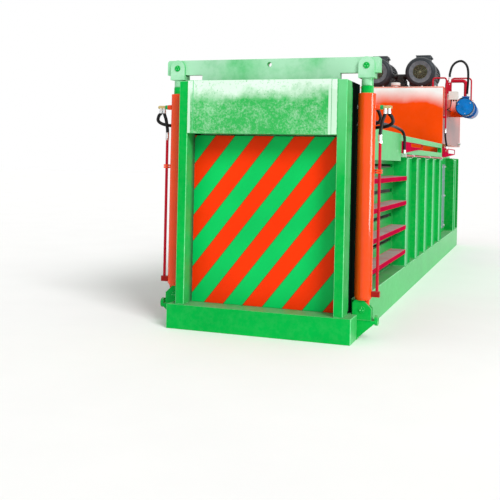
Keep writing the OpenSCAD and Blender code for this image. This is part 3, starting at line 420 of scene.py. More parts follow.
keepers = Stock()
for side in (-1, 1):
    keep_pin(keepers, side, 214.2, 238)
keepers.finish("foot_pin_keepers", "frame", "green", green_edge)

# Portal at the front: two box columns with a header box between them, and behind them the
# mouth posts whose cheek plates guide the gate. Plate welded into boxes, ground and sprayed.


def front_of(where):
    """1 on the faces toward the front of the machine."""
    return facing(where, "Y") < -0.5


def turned_inward(where):
    """1 on the faces toward the middle of the machine."""
    return axes(where)[0] * facing(where, "X") < -0.3


def painted_glare(where):
    """Painted glare: a painted highlight along the top edge, painted glare on both ends, pale
    streaks across the front.
    """
    x, _, z = axes(where)
    patchy = cloud(where, 6.0, 7.0, 0.66)
    flecks = cloud(where, 62.0, 4.0, 0.75)
    top = band(z + patchy * 0.30, 2.00, 2.14) * band(flecks, 0.24, 0.44)
    strip = worked("MAXIMUM", x > 0.558, x < -0.605) * 0.80
    streak = band(patchy * 0.6 + flecks * 0.7, 0.60, 0.90) * 0.55 + 0.05
    # worn here is the share of painted glare and pale streaks.
    worn = worked("MAXIMUM", worked("MAXIMUM", top, strip), streak)
    return blended(worn * front_of(where), rgb(GREEN), rgb((0.74, 0.93, 0.78)))


def painted_cheek_shade(where):
    """Painted shade: near black down the inside of the cheeks."""
    _, y, z = axes(where)
    deep = (y > 0.0862) * (y < 0.374) * (z < 2.0395)
    mottle = band(cloud(where, 12.0, 5.0, 0.6), 0.1, 0.4)
    return blended(deep * (mottle * 0.1 + 0.9), rgb(GREEN), rgb((0.006, 0.012, 0.009)))


def painted_column_light(where):
    """Painted highlight on the upper front of the right column; near black painted shade where
    the columns face the gate.
    """
    x, y, z = axes(where)
    high = band(z + cloud(where, 5.0, 5.0, 0.6) * 0.3, 1.42, 2.10)
    front = front_of(where) * (x > 0.0)
    paint = blended(high * front * 0.45, rgb(GREEN), rgb(LIGHT_GREEN))
    painted_gap_shade = turned_inward(where) * band(y, 0.000, 0.060)
    return blended(painted_gap_shade, paint, rgb((0.001, 0.050, 0.012)))


# The column paint carries a painted highlight high on the right column's front and painted shade
# next to the gate.
column_green = enamel("column paint with painted highlight and shade", GREEN, pattern=painted_column_light, sides=0.10,
                      chalk=LIGHT_GREEN, shine=0.06)
# The header paint carries painted glare along the top edge and on both ends.
glare_green = enamel("header paint with painted glare", GREEN, pattern=painted_glare, sides=0.2,
                     chalk=LIGHT_GREEN, shine=0.12)
# The cheek paint is near black down the inside of the cheeks: painted shade.
cheek_green = enamel("green enamel with painted shade on the cheeks", GREEN, pattern=painted_cheek_shade, gloss=0.36,
                     pale=0.0, dust=0.1, shine=0.0)
dressed("gate_columns", column_green, green_edge, edge=5)
dressed("header_box", glare_green, green_edge, edge=5)
dressed("mouth_posts", cheek_green, edge=5)
portal = Stock()
for side in (-1, 1):
    portal.bead((side * 630, 18, 1612), (side * 630, 18, 2040), 3)
    portal.bead((side * 632, 20, 202), (side * 705, 20, 202), 5)
    portal.bead((side * 705, 22, 202), (side * 705, 194, 202), 5)
    portal.bead((side * 706, 330, 302), (side * 706, 486, 302), 5)
    portal.bead((side * 705, 196, 1990), (side * 705, 196, 230), 3)
portal.finish("portal_seams", "frame", "green", weld_metal)

# Strapping walls of the press chamber: flat bars with open wire slots between them, and
# red folded channels welded on the bars as shelves for the wire twisters.
RED = (0.50, 0.004, 0.045)
red = enamel("red enamel", RED, dust=0.97, pale=0.01, chalk=(0.75, 0.42, 0.42), gloss=0.5,
             shine=0.0)
# The edge red is brighter than the shelves: painted highlight on the broken edges, with chips to
# the primer.
red_edge = enamel("red enamel edge", (0.70, 0.01, 0.05), chips=0.2, dust=0.9, gloss=0.5,
                  shine=0.0, pale=0.02, primer=(0.4, 0.36, 0.33), chalk=(0.75, 0.42, 0.42))


def painted_chamber_shade(where):
    """Green outside; toward the chamber dark steel tones, near black as painted shade."""
    spots = cloud(where, 8.0, 6.0, 0.7)
    steel = blended(spots, rgb((0.020, 0.017, 0.014)), rgb((0.075, 0.058, 0.045)))
    return blended(turned_inward(where), rgb(GREEN), steel)


# The wall paint turns near black toward the chamber: painted shade inside the chamber.
wall_green = enamel("green enamel, painted shade inside", GREEN, pattern=painted_chamber_shade, sides=0.05,
                    chalk=LIGHT_GREEN, shine=0.08)
for side in ("left", "right"):
    dressed("strap_wall_" + side, wall_green, edge=3)
    dressed("strap_shelves_" + side, red, red_edge, edge=3)
SHELF_LOWEST, SHELF_PITCH = 460, 260
shelves = Stock()
for side in (-1, 1):
    for i in range(4):
        for lip in (23, -23):
            z = SHELF_LOWEST + SHELF_PITCH * i + lip
            shelves.bead((side * 627, 490, z), (side * 627, 2636, z), 4)
shelves.finish("shelf_seams", "frame", "red", enamel("painted weld red", (0.5, 0.02, 0.04),
                                                    gloss=0.45, peel=0.9, dust=0.8))

# Side walls with upright box ribs folded from plate, seam welded to the wall and skid, and
# grey access covers over the rear, each held by hexagon bolts.
RIB_FIRST, RIB_PITCH, RIB_LAST, RIB_WIDTH = 2640, 748, 7670, 310


def shaded_sides(where):
    """Painted light on the ribs: a pale highlight strip on each cap, and painted shade darkening
    the caps and the flanks toward the rear.
    """
    y = axes(where)[1]
    flank = band(abs(facing(where, "X")), 0.5, 0.8)
    back = band(worked("FRACT", (y - 1.0) / (RIB_PITCH / 1000)), 0.12, 0.30)
    cap = blended(back, rgb((0.16, 0.50, 0.24)), rgb((0.004, 0.38, 0.060)))
    front = blended(y > 7.2, rgb((0.002, 0.46, 0.070)), rgb((0.001, 0.31, 0.035)))
    return blended(flank, front, cap)


rib_green = enamel("green enamel on the ribs", GREEN, pattern=shaded_sides, shine=0.0)
# Rib edges lighter than the caps: painted highlight, with chips to the primer.
rib_edge = enamel("rib edges, painted highlight and chips", (0.22, 0.72, 0.34), chips=0.2, pale=0.3,
                  primer=(0.30, 0.40, 0.32), chalk=(0.8, 0.92, 0.82), shine=0.1)
dressed("side_walls", wall_green, edge=3)
grey_blue = enamel("grey cover paint", (0.22, 0.29, 0.33), dust=0.5, pale=0.12)
for node in ("wall_ribs_left", "wall_ribs_right"):
    dressed(node, rib_green, rib_edge, edge=7)
dressed("access_covers", grey_blue, edge=2)
walls = Stock()
for side in (-1, 1):
    for y in [RIB_FIRST + RIB_PITCH * i for i in range(5)] + [RIB_LAST]:
        for edge_y in (y - 1, y + RIB_WIDTH + 1):
            walls.bead((side * 626, edge_y, 306), (side * 626, edge_y, 1484), 6)
            walls.bead((side * 632, edge_y, 302), (side * 768, edge_y, 302), 5)
        walls.bead((side * 776, y + 4, 301), (side * 776, y + RIB_WIDTH - 4, 301), 4)
    walls.bead((side * 627, 330, 304), (side * 627, 2598, 304), 6)
walls.finish("rib_seams", "frame", "green", weld_metal)
covers = Stock()
zinc = rolled_steel("zinc plated bolts", (0.72, 0.73, 0.74), rust=0.08, metallic=0.9,
                    rough=0.35, grain=(20, 20, 20))
for side in (-1, 1):
    for y in (6090, 6560, 7040, 7520):
        for z in (400, 880, 1350):
            covers.bolt((side * 637, y, z), (side, 0, 0), 26)
covers.finish("cover_bolts", "frame", "steel", zinc)

# Roof of the press box: thick plates before and behind the feed opening, a lintel over the
# mouth and the box-section shear beam with a ground steel knife bolted to its back.
for node in ("roof_plates", "shear_beam", "rear_head"):
    dressed(node, green, green_edge, edge=5)
dressed("fixed_knife", ground_steel, edge=2)
roof = Stock()
for half, y in ((620, 857), (600, 490)):
    roof.bead((-half, y, 1527), (half, y, 1527), 6)
roof.finish("roof_seams", "frame", "green", weld_metal)


def spokes(count, first):
    """Ways outward of a ring of bolts, in the plane of the front."""
    turns = [2 * math.pi / count * k + first for k in range(count)]
    return [Vector((math.cos(turn), 0, math.sin(turn))) for turn in turns]


knife_bolts = Stock()
for i in range(9):
    knife_bolts.bolt((-520 + 130 * i, 2265, 1530), BACKWARD, 24)
for way in spokes(10, math.pi / 10):
    knife_bolts.bolt(Vector((0, 8180, 850)) + way * 208, FORWARD, 30)
knife_bolts.finish("knife_and_flange_bolts", "frame", "steel", zinc)

# Feed rim round the hopper mouth: angle band, end posts and a square rail, with red slotted
# lugs on which a feed hopper or conveyor chute is bolted.
for side in ("left", "right"):
    dressed("hopper_rim_" + side, green, green_edge, edge=4)
dressed("rim_lugs", red, red_edge, edge=2)

# Lifting gate: skin, top cap and webs with wire bars behind, sprayed in red and green
# warning stripes, hung from a thick yoke plate with two arms and a lifting hole.
STRIPE_PITCH, STRIPE_SHARE = 0.341, 0.504


def warning_stripes(where):
    """Sloping bands of red on green, with a thin dark line where they overlap."""
    x, _, z = axes(where)
    run = (x + 0.467) - (z - 1.573) * 0.786
    step = worked("FRACT", run / STRIPE_PITCH)
    ragged = cloud(where, 90.0, 3.0) * 0.012
    stripe = (step + ragged < STRIPE_SHARE) * (facing(where, "Y") < -0.3)
    middle = abs(step - STRIPE_SHARE / 2)
    seam = worked("MINIMUM", abs(middle - STRIPE_SHARE / 2), abs(1.0 - step))
    painted = blended(stripe, rgb((0.001, 0.58, 0.12)), rgb((1.0, 0.040, 0.002)))
    return blended((seam < 0.012) * 0.75, painted, rgb((0.09, 0.06, 0.01)))


def faded(where):
    """Green worn pale in patches on the front."""
    worn = band(cloud(where, 4.0, 6.0, 0.62), 0.22, 0.60) * front_of(where)
    return blended(worn * 0.85, rgb((0.10, 0.58, 0.20)), rgb((0.50, 0.83, 0.60)))


striped = enamel("gate warning stripes", (0.9, 0.6, 0.4), pattern=warning_stripes, pale=0.0,
                 gloss=0.4, shine=0.1)
yoke_green = enamel("yoke paint, faded", GREEN, pattern=faded, sides=0.1)
dressed("gate_panel", striped, edge=4)
dressed("gate_bars", wall_green, edge=3)
dressed("gate_yoke", yoke_green, green_edge, edge=5, flat=True)
dressed("rod_clevises", yoke_green, green_edge, edge=4)
dressed("clevis_pins", green, green_edge, edge=2)
retainers = Stock()
for side in (-1, 1):
    keep_pin(retainers, side, 198.7, 2159)
retainers.finish("clevis_pin_keepers", "gate", "green", green_edge)
yoke = Stock()
for y in (232, 292):
    yoke.bead((-594, y, 1602), (594, y, 1602), 6)
yoke.finish("yoke_seams", "gate", "green", weld_metal)

# Gate lift cylinders: orange honed tubes on a clevis foot, with screwed glands and chromed
# rods that push the yoke up. A pipe clamp and two hose ports are welded to each barrel.
ORANGE = (1.0, 0.074, 0.002)
orange = enamel("orange enamel", ORANGE, gloss=0.26, dust=0.3, pale=0.01, ripple=0.06,
                chalk=(0.9, 0.6, 0.5), shine=0.0, coat=0.6)
# The edge orange is lighter than the faces: painted highlight on the broken edges.
orange_edge = enamel("orange enamel edge", (1.0, 0.24, 0.07), gloss=0.3, pale=0.15,
                     chalk=(0.9, 0.6, 0.5))
chrome = rolled_steel("chromed rod", (0.78, 0.78, 0.80), rust=0.0, metallic=1.0, rough=0.16,
                      grain=(2, 2, 50))
port_paint = enamel("port block paint", (0.34, 0.012, 0.010), gloss=0.4, shine=0.1,
                    chalk=(0.6, 0.3, 0.3))
PIN_Z, FOOT_Z, CLAMP_Z, PORT_Z, TOP_Z = 244, 330, 1332, 1838, 1948
EYE_HALF, EYE_RISE, EYE_DEPTH, EYE_BORE = 50, 80, 16.5, 25.3


def across(side, low, high):
    """The corners of a block of the right side, moved to the named side."""
    a, b = side * low[0], side * high[0]
    return (min(a, b),) + low[1:], (max(a, b),) + high[1:]


def eye_edge(turn):
    rise = math.sin(turn)
    if rise <= 0:
        return EYE_HALF
    return min(EYE_HALF / max(abs(math.cos(turn)), 0.01), EYE_RISE / rise)


def foot_eye(piece, x):
    """The flat eye under a lift cylinder, with its pin bore."""
    steps = 64
    turns = [2 * math.pi * k / steps for k in range(steps)]
    outside = [eye_edge(turn) for turn in turns]
    inside = [EYE_BORE] * steps
    points = [(x + reach * math.cos(turn), LIFT_Y + depth, PIN_Z + reach * math.sin(turn))
              for reaches, depth in ((outside, -EYE_DEPTH), (outside, EYE_DEPTH),
                                     (inside, EYE_DEPTH), (inside, -EYE_DEPTH))
              for reach, turn in zip(reaches, turns)]
    piece.add(points, [(ring * steps + k, ring * steps + (k + 1) % steps,
                        (ring + 1) % 4 * steps + (k + 1) % steps, (ring + 1) % 4 * steps + k)
                       for ring in range(4) for k in range(steps)])


TUBE = [(FOOT_Z - 12, 60), (FOOT_Z - 3, 62), (FOOT_Z, 64), (FOOT_Z + 4, 68), (FOOT_Z + 8, 70),
        (TOP_Z - 2.5, 70), (TOP_Z, 67.5), (TOP_Z, 55), (FOOT_Z + 20, 55), (FOOT_Z + 20, 0.005)]
for side, name in ((-1, "left"), (1, "right")):
    tube = Stock()
    tube.turned((side * LIFT_X, LIFT_Y, 0), UP, TUBE, 96)
    foot_eye(tube, side * LIFT_X)
    tube.block(*across(side, (872, 240, 344), (944, 284, 388)), port_paint)
    tube.turned((side * 870, LIFT_Y, PORT_Z), (side, 0, 0), [(0, 21), (46, 21), (48, 19.5)], 40)
    tube.turned((side * 881.5, LIFT_Y, PORT_Z), (side, 0, 0), [(-2, 26), (0.5, 26), (3, 23.5),
                                                              (5, 21)], 40)
    for low, high in ((-16, -1.5), (1.5, 16)):
        tube.block(*across(side, (872, 242, CLAMP_Z + low), (942, 282, CLAMP_Z + high)))
    tube = tube.finish("honed_tube_" + name, "frame", "orange", orange, port_paint, edge=0.8)
    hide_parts("lift_barrel_" + name)
dressed("lift_rods", chrome, edge=1)
dressed("glands", green, green_edge, edge=2)
clamp_bolts = Stock()
for side in (-1, 1):
    for z in (CLAMP_Z - 10, CLAMP_Z + 10):
        clamp_bolts.bolt((side * 896, 242, z), FORWARD, 9)
clamp_bolts.finish("clamp_bolts", "frame", "orange", port_paint)

# Press ram: welded box with a grooved face of flat bars, a ground top knife and wear strips,
# driven by the chromed rod of the main cylinder, whose orange barrel is bolted to the head.
ram_paint = enamel("ram paint", (0.006, 0.20, 0.05), dust=0.9, pale=0.2)
dressed("ram_shell", ram_paint, edge=3)
dressed("ram_face", worn_plate, edge=2)
dressed("ram_knife", ground_steel, edge=2)
dressed("wear_strips", worn_plate, edge=2)
dressed("main_rod", chrome, edge=1)
dressed("main_barrel", orange, orange_edge, edge=3)

# Oil tank over the rear of the press: a welded box with a screwed lid on cross members,
# sprayed orange, with a filler breather, a level glass and a row of lid screws.
TANK_HALF, TANK_FRONT, TANK_BACK, TANK_TOP = 775, 5860, 8500, 2513
LID_PITCH = 188


def painted_tank_glare_and_shade(where):
    """Painted glare: orange going nearly white along the top of the front; painted shade: dull
    brown on both ends, darker low down.
    """
    x, _, z = axes(where)
    patchy = cloud(where, 1.6, 4.0, 0.5)
    rise = z + patchy * 0.30 + abs(x - 0.15) ** 2.0 * 0.25
    # worn here is the share of painted glare along the top of the front.
    worn = band(rise, 2.41, 2.63) * front_of(where)
    base = blended(worn, rgb((1.0, 0.070, 0.002)), rgb((1.0, 0.95, 0.95)))
    flank = abs(facing(where, "X")) > 0.5
    flank_shade = patchy * 0.35 + 0.72 - band(z, 2.00, 2.26) * 0.45
    return blended(flank * flank_shade, base, rgb((0.21, 0.105, 0.105)))


# Tank paint with painted glare on the front top and painted shade on the ends.
tank_orange = enamel("tank paint", ORANGE, pattern=painted_tank_glare_and_shade, gloss=0.3, dust=0.3, pale=0.01,
                     ripple=0.15, chalk=(0.9, 0.6, 0.5))
dressed("tank_stand", orange, orange_edge, edge=4)
dressed("oil_tank", tank_orange, orange_edge, edge=4)
dressed("tank_lid", tank_orange, orange_edge, edge=4)
white_paint = enamel("white moulding", (0.80, 0.80, 0.76), gloss=0.4, dust=0.3, pale=0.02,
                     peel=0.1)
cap = Stock()
cap.turned((60, 6040, TANK_TOP), UP, [(0, 50), (4, 50), (6, 40), (28, 40), (30, 64), (33, 68),
                                      (46, 68), (48, 65), (50, 68), (68, 68), (74, 63),
                                      (76, 48), (76, 6)], 48)
cap = cap.finish("breather", "frame", "cream", white_paint)
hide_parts("breather_cap")
lid = Stock()
for side in (-1, 1):
    for i in range(14):
        lid.bolt((side * (TANK_HALF - 25), 5960 + LID_PITCH * i, TANK_TOP), UP, 17)
for i in range(8):
    for y in (TANK_FRONT + 25, TANK_BACK - 25):
        lid.bolt((-660 + LID_PITCH * i, y, TANK_TOP), UP, 17)
lid.finish("lid_screws", "frame", "steel", zinc)
glass = Stock()
for side in (-1, 1):
    glass.block(*across(side, (TANK_HALF, 6120, 1850), (TANK_HALF + 8, 6150, 2110)), zinc)
    glass.turned((side * (TANK_HALF + 14), 6135, 1866), UP, [(0, 9), (228, 9)], 16)
    for z in (1862, 2098):
        glass.turned((side * TANK_HALF, 6135, z), (side, 0, 0),
                     [(0, 16), (20, 16), (22, 11), (25, 11)], 20, zinc)
    glass.turned((side * TANK_HALF, 8300, 1740), (side, 0, 0),
                 [(0, 26), (14, 26), (16, 20), (34, 20), (36, 14)], 6, zinc)
glass.finish("level_glass_and_drain", "frame", "steel",
             enamel("sight tube", (0.30, 0.22, 0.08), gloss=0.12, dust=0.1, peel=0.0), zinc)
tank_seams = Stock()
for side in (-1, 1):
    for y in (TANK_FRONT + 2, TANK_BACK - 2):
        tank_seams.bead((side * 774, y, 1694), (side * 774, y, 2500), 3)
    tank_seams.bead((side * 776, 5870, 2500), (side * 776, 8490, 2500), 3)
tank_seams.bead((-770, TANK_FRONT - 1, 2500), (770, TANK_FRONT - 1, 2500), 3)
for z in (2130, 2385):
    tank_seams.bead((778, 6889, z), (1110, 6889, z), 1.2)
tank_seams.bead((777, 6888, 2130), (777, 6888, 2385), 4)
tank_seams.finish("tank_seams", "frame", "orange", orange)

# Main motors and pumps on the tank lid: cast finned bodies with pressed steel fan cowls and
# wire guards in front, bell housings and piston pumps behind, bolted down to rails.
motor_grey = enamel("motor paint", (0.060, 0.068, 0.075), gloss=0.5, dust=0.5, pale=0.1,
                    peel=0.8, chalk=(0.3, 0.32, 0.32), shine=0.2)
cowl_grey = enamel("cowl paint", (0.030, 0.035, 0.040), gloss=0.4, dust=0.35, pale=0.06,
                   chalk=(0.3, 0.32, 0.32), shine=0.15)
dish_grey = enamel("cowl dish paint", (0.11, 0.13, 0.145), gloss=0.42, dust=0.4, pale=0.15,
                   chalk=(0.55, 0.58, 0.58))
guard_wire = enamel("guard wire", (0.16, 0.17, 0.10), gloss=0.5, dust=0.3, pale=0.15,
                    chalk=(0.4, 0.42, 0.30))
cast_iron = enamel("pump casting", (0.035, 0.037, 0.04), gloss=0.55, dust=0.6, pale=0.1,
                   peel=1.0)
MOTORS = {"left": -367, "right": 319}
MOTOR_Z, COWL_Y, MOTOR_FOOT = 2820, 6700, 2587
COWL = [(0, 172), (2, 184), (7, 202), (16, 216), (29, 228), (44, 233), (150, 234), (152, 231),
        (172, 231), (174, 234), (198, 234), (200, 232), (200, 226), (60, 225.5), (40, 215),
        (24, 194), (14, 172)]
DISH = [(0.5, 172), (-1, 167), (1, 162), (7, 128), (10, 112), (13, 110), (16, 113), (13, 130),
        (8, 164), (14, 172)]
GLAND = [(0, 16), (8, 16), (9, 13), (16, 13), (18, 15), (28, 13), (29, 7)]
for side, x in MOTORS.items():
    dressed("motor_" + side, motor_grey, edge=2)
    dressed("fan_" + side, cast_iron, edge=1)
    cowl = Stock()
    cowl.turned((x, COWL_Y, MOTOR_Z), BACKWARD, COWL, 72, closed=True)
    cowl.turned((x, COWL_Y, MOTOR_Z), BACKWARD, DISH, 72, dish_grey, closed=True)
    for radius in (22, 34, 46, 58, 70, 82, 94, 105):
        cowl.hoop((x, COWL_Y + 9, MOTOR_Z), BACKWARD, radius, 1.9, surface=guard_wire)
    middle = Vector((x, COWL_Y + 12, MOTOR_Z))
    for way in spokes(8, 0.39):
        cowl.swept([middle + way * reach for reach in (12, 60, 113)], 2.4, 8, guard_wire)
    cowl.turned((x, COWL_Y + 5, MOTOR_Z), BACKWARD, [(0, 10), (2, 17), (9, 17), (10, 15)], 24,
                guard_wire)
    for way in spokes(6, 0.5):
        cowl.bolt(Vector((x, COWL_Y + 185, MOTOR_Z)) + way * 234, way, 9)
    cowl = cowl.finish("pressed_cowl_" + side, "frame", "motor", cowl_grey, dish_grey,
                       guard_wire)
    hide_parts("cowl_" + side)
    trim = Stock()
    top = MOTOR_Z + 285
    trim.block((x - 116, 7024, top), (x + 116, 7256, top + 12))
    for corner_x in (x - 100, x + 100):
        for y in (7040, 7240):
            trim.bolt((corner_x, y, top + 12), UP, 9, zinc)
    for y in (7090, 7140, 7190):
        trim.turned((x + 110, y, MOTOR_Z + 255), (1, 0, 0), GLAND, 20)
    trim.turned((x, 7350, MOTOR_Z + 222), UP, [(0, 20), (6, 20), (8, 12), (14, 12)], 20)
    trim.hoop((x, 7350, MOTOR_Z + 256), BACKWARD, 19, 6, 24)
    for y in (6890, 7440):
        for way in spokes(8, 0.2):
            trim.bolt(Vector((x, y, MOTOR_Z)) + way * 224, way, 10, zinc)
    for foot_x in (x - 150, x + 150):
        for y in (7020, 7150, 7290):
            for bolt_x in (foot_x + 22, foot_x - 22):
                trim.bolt((bolt_x, y, MOTOR_FOOT), UP, 12, zinc)
    trim.finish("motor_trim_" + side, "frame", "motor", motor_grey, zinc)
dressed("main_pumps", cast_iron, edge=3)
dressed("valve_block", cast_iron, edge=2)
moulding = enamel("plug moulding", (0.02, 0.02, 0.022), gloss=0.45, dust=0.4, peel=0.2)
VALVE_X, COIL_Z = -24, 2788
coils = Stock()
for y in (7035, 7165, 7295):
    for side in (-1, 1):
        coils.turned((VALVE_X + side * 70, y, COIL_Z), (side, 0, 0),
                     [(0, 30), (3, 32), (48, 32), (51, 30), (52, 14), (60, 14), (62, 10)], 28)
        plug_x = VALVE_X + side * 95
        coils.block((plug_x - 14, y - 14, COIL_Z + 30), (plug_x + 14, y + 14, COIL_Z + 58),
                    moulding)
coils.finish("valve_coils", "frame", "motor", cast_iron, moulding)

# Circulation motor and pump on a bracket at the tank side, with the white junction box and
# its stand-off. Cast body, pressed cowl; the box is a moulding with a screwed lid.
PUMP_X, PUMP_Z = 1033, 2250


def painted_rim_shade(where):
    """Blue, with near-black painted shade in the rim round the cowl face."""
    x, y, z = axes(where)
    radius = worked("SQRT", (x - PUMP_X / 1000) ** 2.0 + (z - PUMP_Z / 1000) ** 2.0)
    dark = (radius > 0.1185) * (y < 6.345)
    return blended(dark, rgb((0.004, 0.10, 0.36)), rgb((0.006, 0.022, 0.055)))


# The blue carries near-black painted shade in the rim round the cowl face.
blue = enamel("blue machine paint", (0.004, 0.10, 0.36), pattern=painted_rim_shade, gloss=0.3, dust=0.3,
              pale=0.06, chalk=(0.4, 0.55, 0.75))
bright_blue = enamel("blue cowl face", (0.004, 0.19, 0.60), gloss=0.26, dust=0.2, pale=0.05,
                     chalk=(0.4, 0.6, 0.85))
dressed("circulation_motor", blue, edge=2)
dressed("circulation_fan", cast_iron, edge=1)
dressed("junction_box", white_paint, edge=4)
small = Stock()
small.turned((PUMP_X, 6350, PUMP_Z), FORWARD,
             [(-2, 122), (2, 122), (5, 119), (6, 113), (4, 106), (2.5, 96), (2, 60), (3, 38),
              (6, 30), (7, 12), (7, 3)], 56)
for way in spokes(3, 0.6):
    small.bolt(Vector((PUMP_X, 6347, PUMP_Z)) + way * 100, FORWARD, 10, zinc)
for way in spokes(4, 0.78):
    small.bolt(Vector((PUMP_X, 6890, PUMP_Z)) + way * 118, FORWARD, 16, zinc)
small.block((978, 6496, 2410), (1088, 6594, 2417))
for x in (PUMP_X - 46, PUMP_X + 46):
    for y in (6504, 6586):
        small.bolt((x, y, 2417), UP, 7, zinc)
small.turned((983, 6545, 2392), (-1, 0, 0), [(0, 12), (8, 12), (9, 9), (14, 9), (15, 11),
                                             (22, 10), (23, 6)], 18, moulding)
small.finish("circulation_motor_trim", "frame", "blue", bright_blue, zinc, moulding)
box = Stock()
box.block((815, 6194, 2347), (954, 6199, 2467))
for x in (825, 944):
    for z in (2357, 2457):
        box.turned((x, 6194, z), FORWARD, [(0, 5), (2, 5), (3, 3)], 14, zinc)
for x in (850, 885, 920):
    box.turned((x, 6245, 2350), DOWN, [(0, 13), (8, 13), (9, 10), (16, 10), (18, 12),
                                       (26, 10), (27, 6)], 18, moulding)
for cable in ([(920, 6245, 2326), (920, 6247, 2300), (926, 6280, 2272), (930, 6380, 2276),
               (934, 6480, 2330), (944, 6540, 2384), (961, 6545, 2392)],
              [(850, 6245, 2326), (850, 6247, 2300), (836, 6290, 2240), (800, 6330, 2215),
               (782, 6360, 2212), (782, 6700, 2212), (782, 6886, 2212)]):
    box.swept(cable, 6, 10, moulding)
box.finish("junction_box_lid_and_cables", "frame", "cream", white_paint, zinc, moulding)

# Hydraulic pipes and hoses: drawn tube risers and tank pipes sprayed red, wire-braided
# rubber hoses with swaged ferrules, and zinc plated or brass fittings at every end.
BEND_STEPS = 10


def eased(points):
    """A hose through its points without a kink."""
    points = [Vector(p) for p in points]
    last = len(points) - 1
    path = []
    for i in range(last):
        a, b, c, d = (points[max(i - 1, 0)], points[i], points[i + 1], points[min(i + 2, last)])
        for k in range(BEND_STEPS):
            s = k / BEND_STEPS
            path.append(0.5 * (2 * b + (c - a) * s + (2 * a - 5 * b + 4 * c - d) * s * s
                               + (3 * b - a - 3 * c + d) * s ** 3))
    return path + [points[-1]]


def bent(points, radius):
    """A drawn tube with a bend of one radius at each corner."""
    points = [Vector(p) for p in points]
    path = [points[0]]
    for a, b, c in zip(points, points[1:], points[2:]):
        p = b + (a - b).normalized() * radius
        q = b + (c - b).normalized() * radius
        path += [(1 - s) ** 2 * p + 2 * s * (1 - s) * b + s * s * q
                 for s in (k / BEND_STEPS for k in range(BEND_STEPS + 1))]
    return path + [points[-1]]


def mirrored(points, side):
    return [(side * x, y, z) for x, y, z in points]


pipe_red = enamel("red pipe paint", (0.52, 0.010, 0.030), gloss=0.3, dust=0.3, pale=0.02,
                  chalk=(0.75, 0.42, 0.42), shine=0.12)
pipes = Stock()
for side in (-1, 1):
    riser = [(922, LIFT_Y, 388 + 117.8 * i) for i in range(11)]
    pipes.swept(mirrored(riser, side), 12, 20)
    pipes.swept(mirrored([(790, 2260, 1480), (790, 4000, 1480), (790, 5800, 1480)], side), 9)
pipes.swept(bent([(615, 5950, TANK_TOP), (615, 5950, 2642), (806, 5950, 2642),
                  (806, 5950, 1905)], 40), 12, 18)
pipes.swept(bent([(690, 7100, TANK_TOP), (690, 7100, 2708), (980, 7100, 2708),
                  (980, 7100, 2370)], 60), 28, 20)
pipes.swept(bent([(740, 7250, TANK_TOP), (740, 7250, 2765), (1053, 7250, 2765),
                  (1053, 7250, 2370)], 60), 12, 18)
for x, y, radius in ((615, 5950, 12), (690, 7100, 28), (740, 7250, 12)):
    pipes.turned((x, y, TANK_TOP), UP, [(0, radius + 20), (7, radius + 20), (8, radius + 6),
                                        (24, radius + 6), (26, radius)], 28)
for x, y, radius in ((980, 7100, 28), (1053, 7250, 12)):
    pipes.turned((x, y, 2366), UP, [(0, radius + 14), (16, radius + 14), (18, radius + 5),
                                    (30, radius + 5), (32, radius)], 28)
pipes = pipes.finish("pressed_pipes", "frame", "red", pipe_red)
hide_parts("hard_pipes")

rubber, shader, where = bare_material("hose rubber")
wrap = read(where.tree, "ShaderNodeTexWave", {"Vector": where, "Scale": 55.0, "Distortion": 1.5,
                                              "Detail": 2.0}, "Fac",
            wave_type="BANDS", bands_direction="DIAGONAL")
grime = cloud(where, 14.0, 5.0, 0.65)
blended(band(grime, 0.5, 0.85), rgb((0.006, 0.007, 0.008)),
        rgb((0.035, 0.033, 0.03))).into(shader, "Base Color")
(grime * 0.3 + 0.28).into(shader, "Roughness")
bump(wrap, 0.3, 0.0006).into(shader, "Normal")
shader.inputs["Specular IOR Level"].default_value = 0.16

HOSE_DOWN = [(922, 262, 1620), (922, 262, 1632), (922, 262, 1645), (929, 262, 1688),
             (938, 262, 1734), (950, 262, 1768), (956, 262, 1788), (956, 262, 1798),
             (956, 262, 1808)]
HOSE_BACK = [(987, 262, 1808), (987, 262, 1798), (987, 262, 1788), (1008, 264, 1764),
             (1018, 272, 1726), (992, 288, 1700), (940, 312, 1686), (868, 372, 1682),
             (770, 540, 1668), (655, 700, 1640), (600, 760, 1590), (600, 760, 1567),
             (600, 760, 1545)]
HOSE_CROSS = [(660, 1000, 1720), (660, 1000, 1730), (660, 1000, 1742), (690, 1060, 1768),
              (735, 1250, 1760), (757, 1650, 1758), (752, 1950, 1758), (766, 2150, 1742),
              (790, 2212, 1716), (803, 2236, 1660), (804, 2242, 1600), (804, 2242, 1560),
              (804, 2242, 1530), (804, 2242, 1500)]
HOSE_SIDE = [(725, 400, 1850), (740, 400, 1850), (756, 400, 1850), (830, 400, 1848),
             (872, 400, 1824), (888, 400, 1791), (896, 402, 1755), (880, 405, 1726),
             (840, 408, 1714), (800, 410, 1712), (756, 410, 1712), (740, 410, 1712),
             (725, 410, 1712)]
HOSE_ARC = [(805, 6400, 2700), (805, 6400, 2720), (805, 6400, 2745), (834, 6400, 2851),
            (890, 6400, 2915), (970, 6400, 2936), (1035, 6400, 2890), (1068, 6400, 2800),
            (1070, 6430, 2650), (1052, 6535, 2500), (1050, 6540, 2450), (1050, 6540, 2431),
            (1050, 6540, 2412)]
HOSE_CORNER = [(806, 5950, 1845), (806, 5950, 1825), (806, 5950, 1805), (812, 5985, 1730),
               (818, 6026, 1670), (820, 6030, 1650), (820, 6030, 1635), (820, 6030, 1620)]
runs = Stock()
for side in (-1, 1):
    for route in (HOSE_DOWN, HOSE_BACK, HOSE_CROSS, HOSE_SIDE):
        runs.swept(eased(mirrored(route, side)), 14, 18)
runs.swept(eased(HOSE_ARC), 17, 20)
runs.swept(eased(HOSE_CORNER), 14, 18)
runs = runs.finish("braided_hoses", "frame", "rubber", rubber)
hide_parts("hoses")

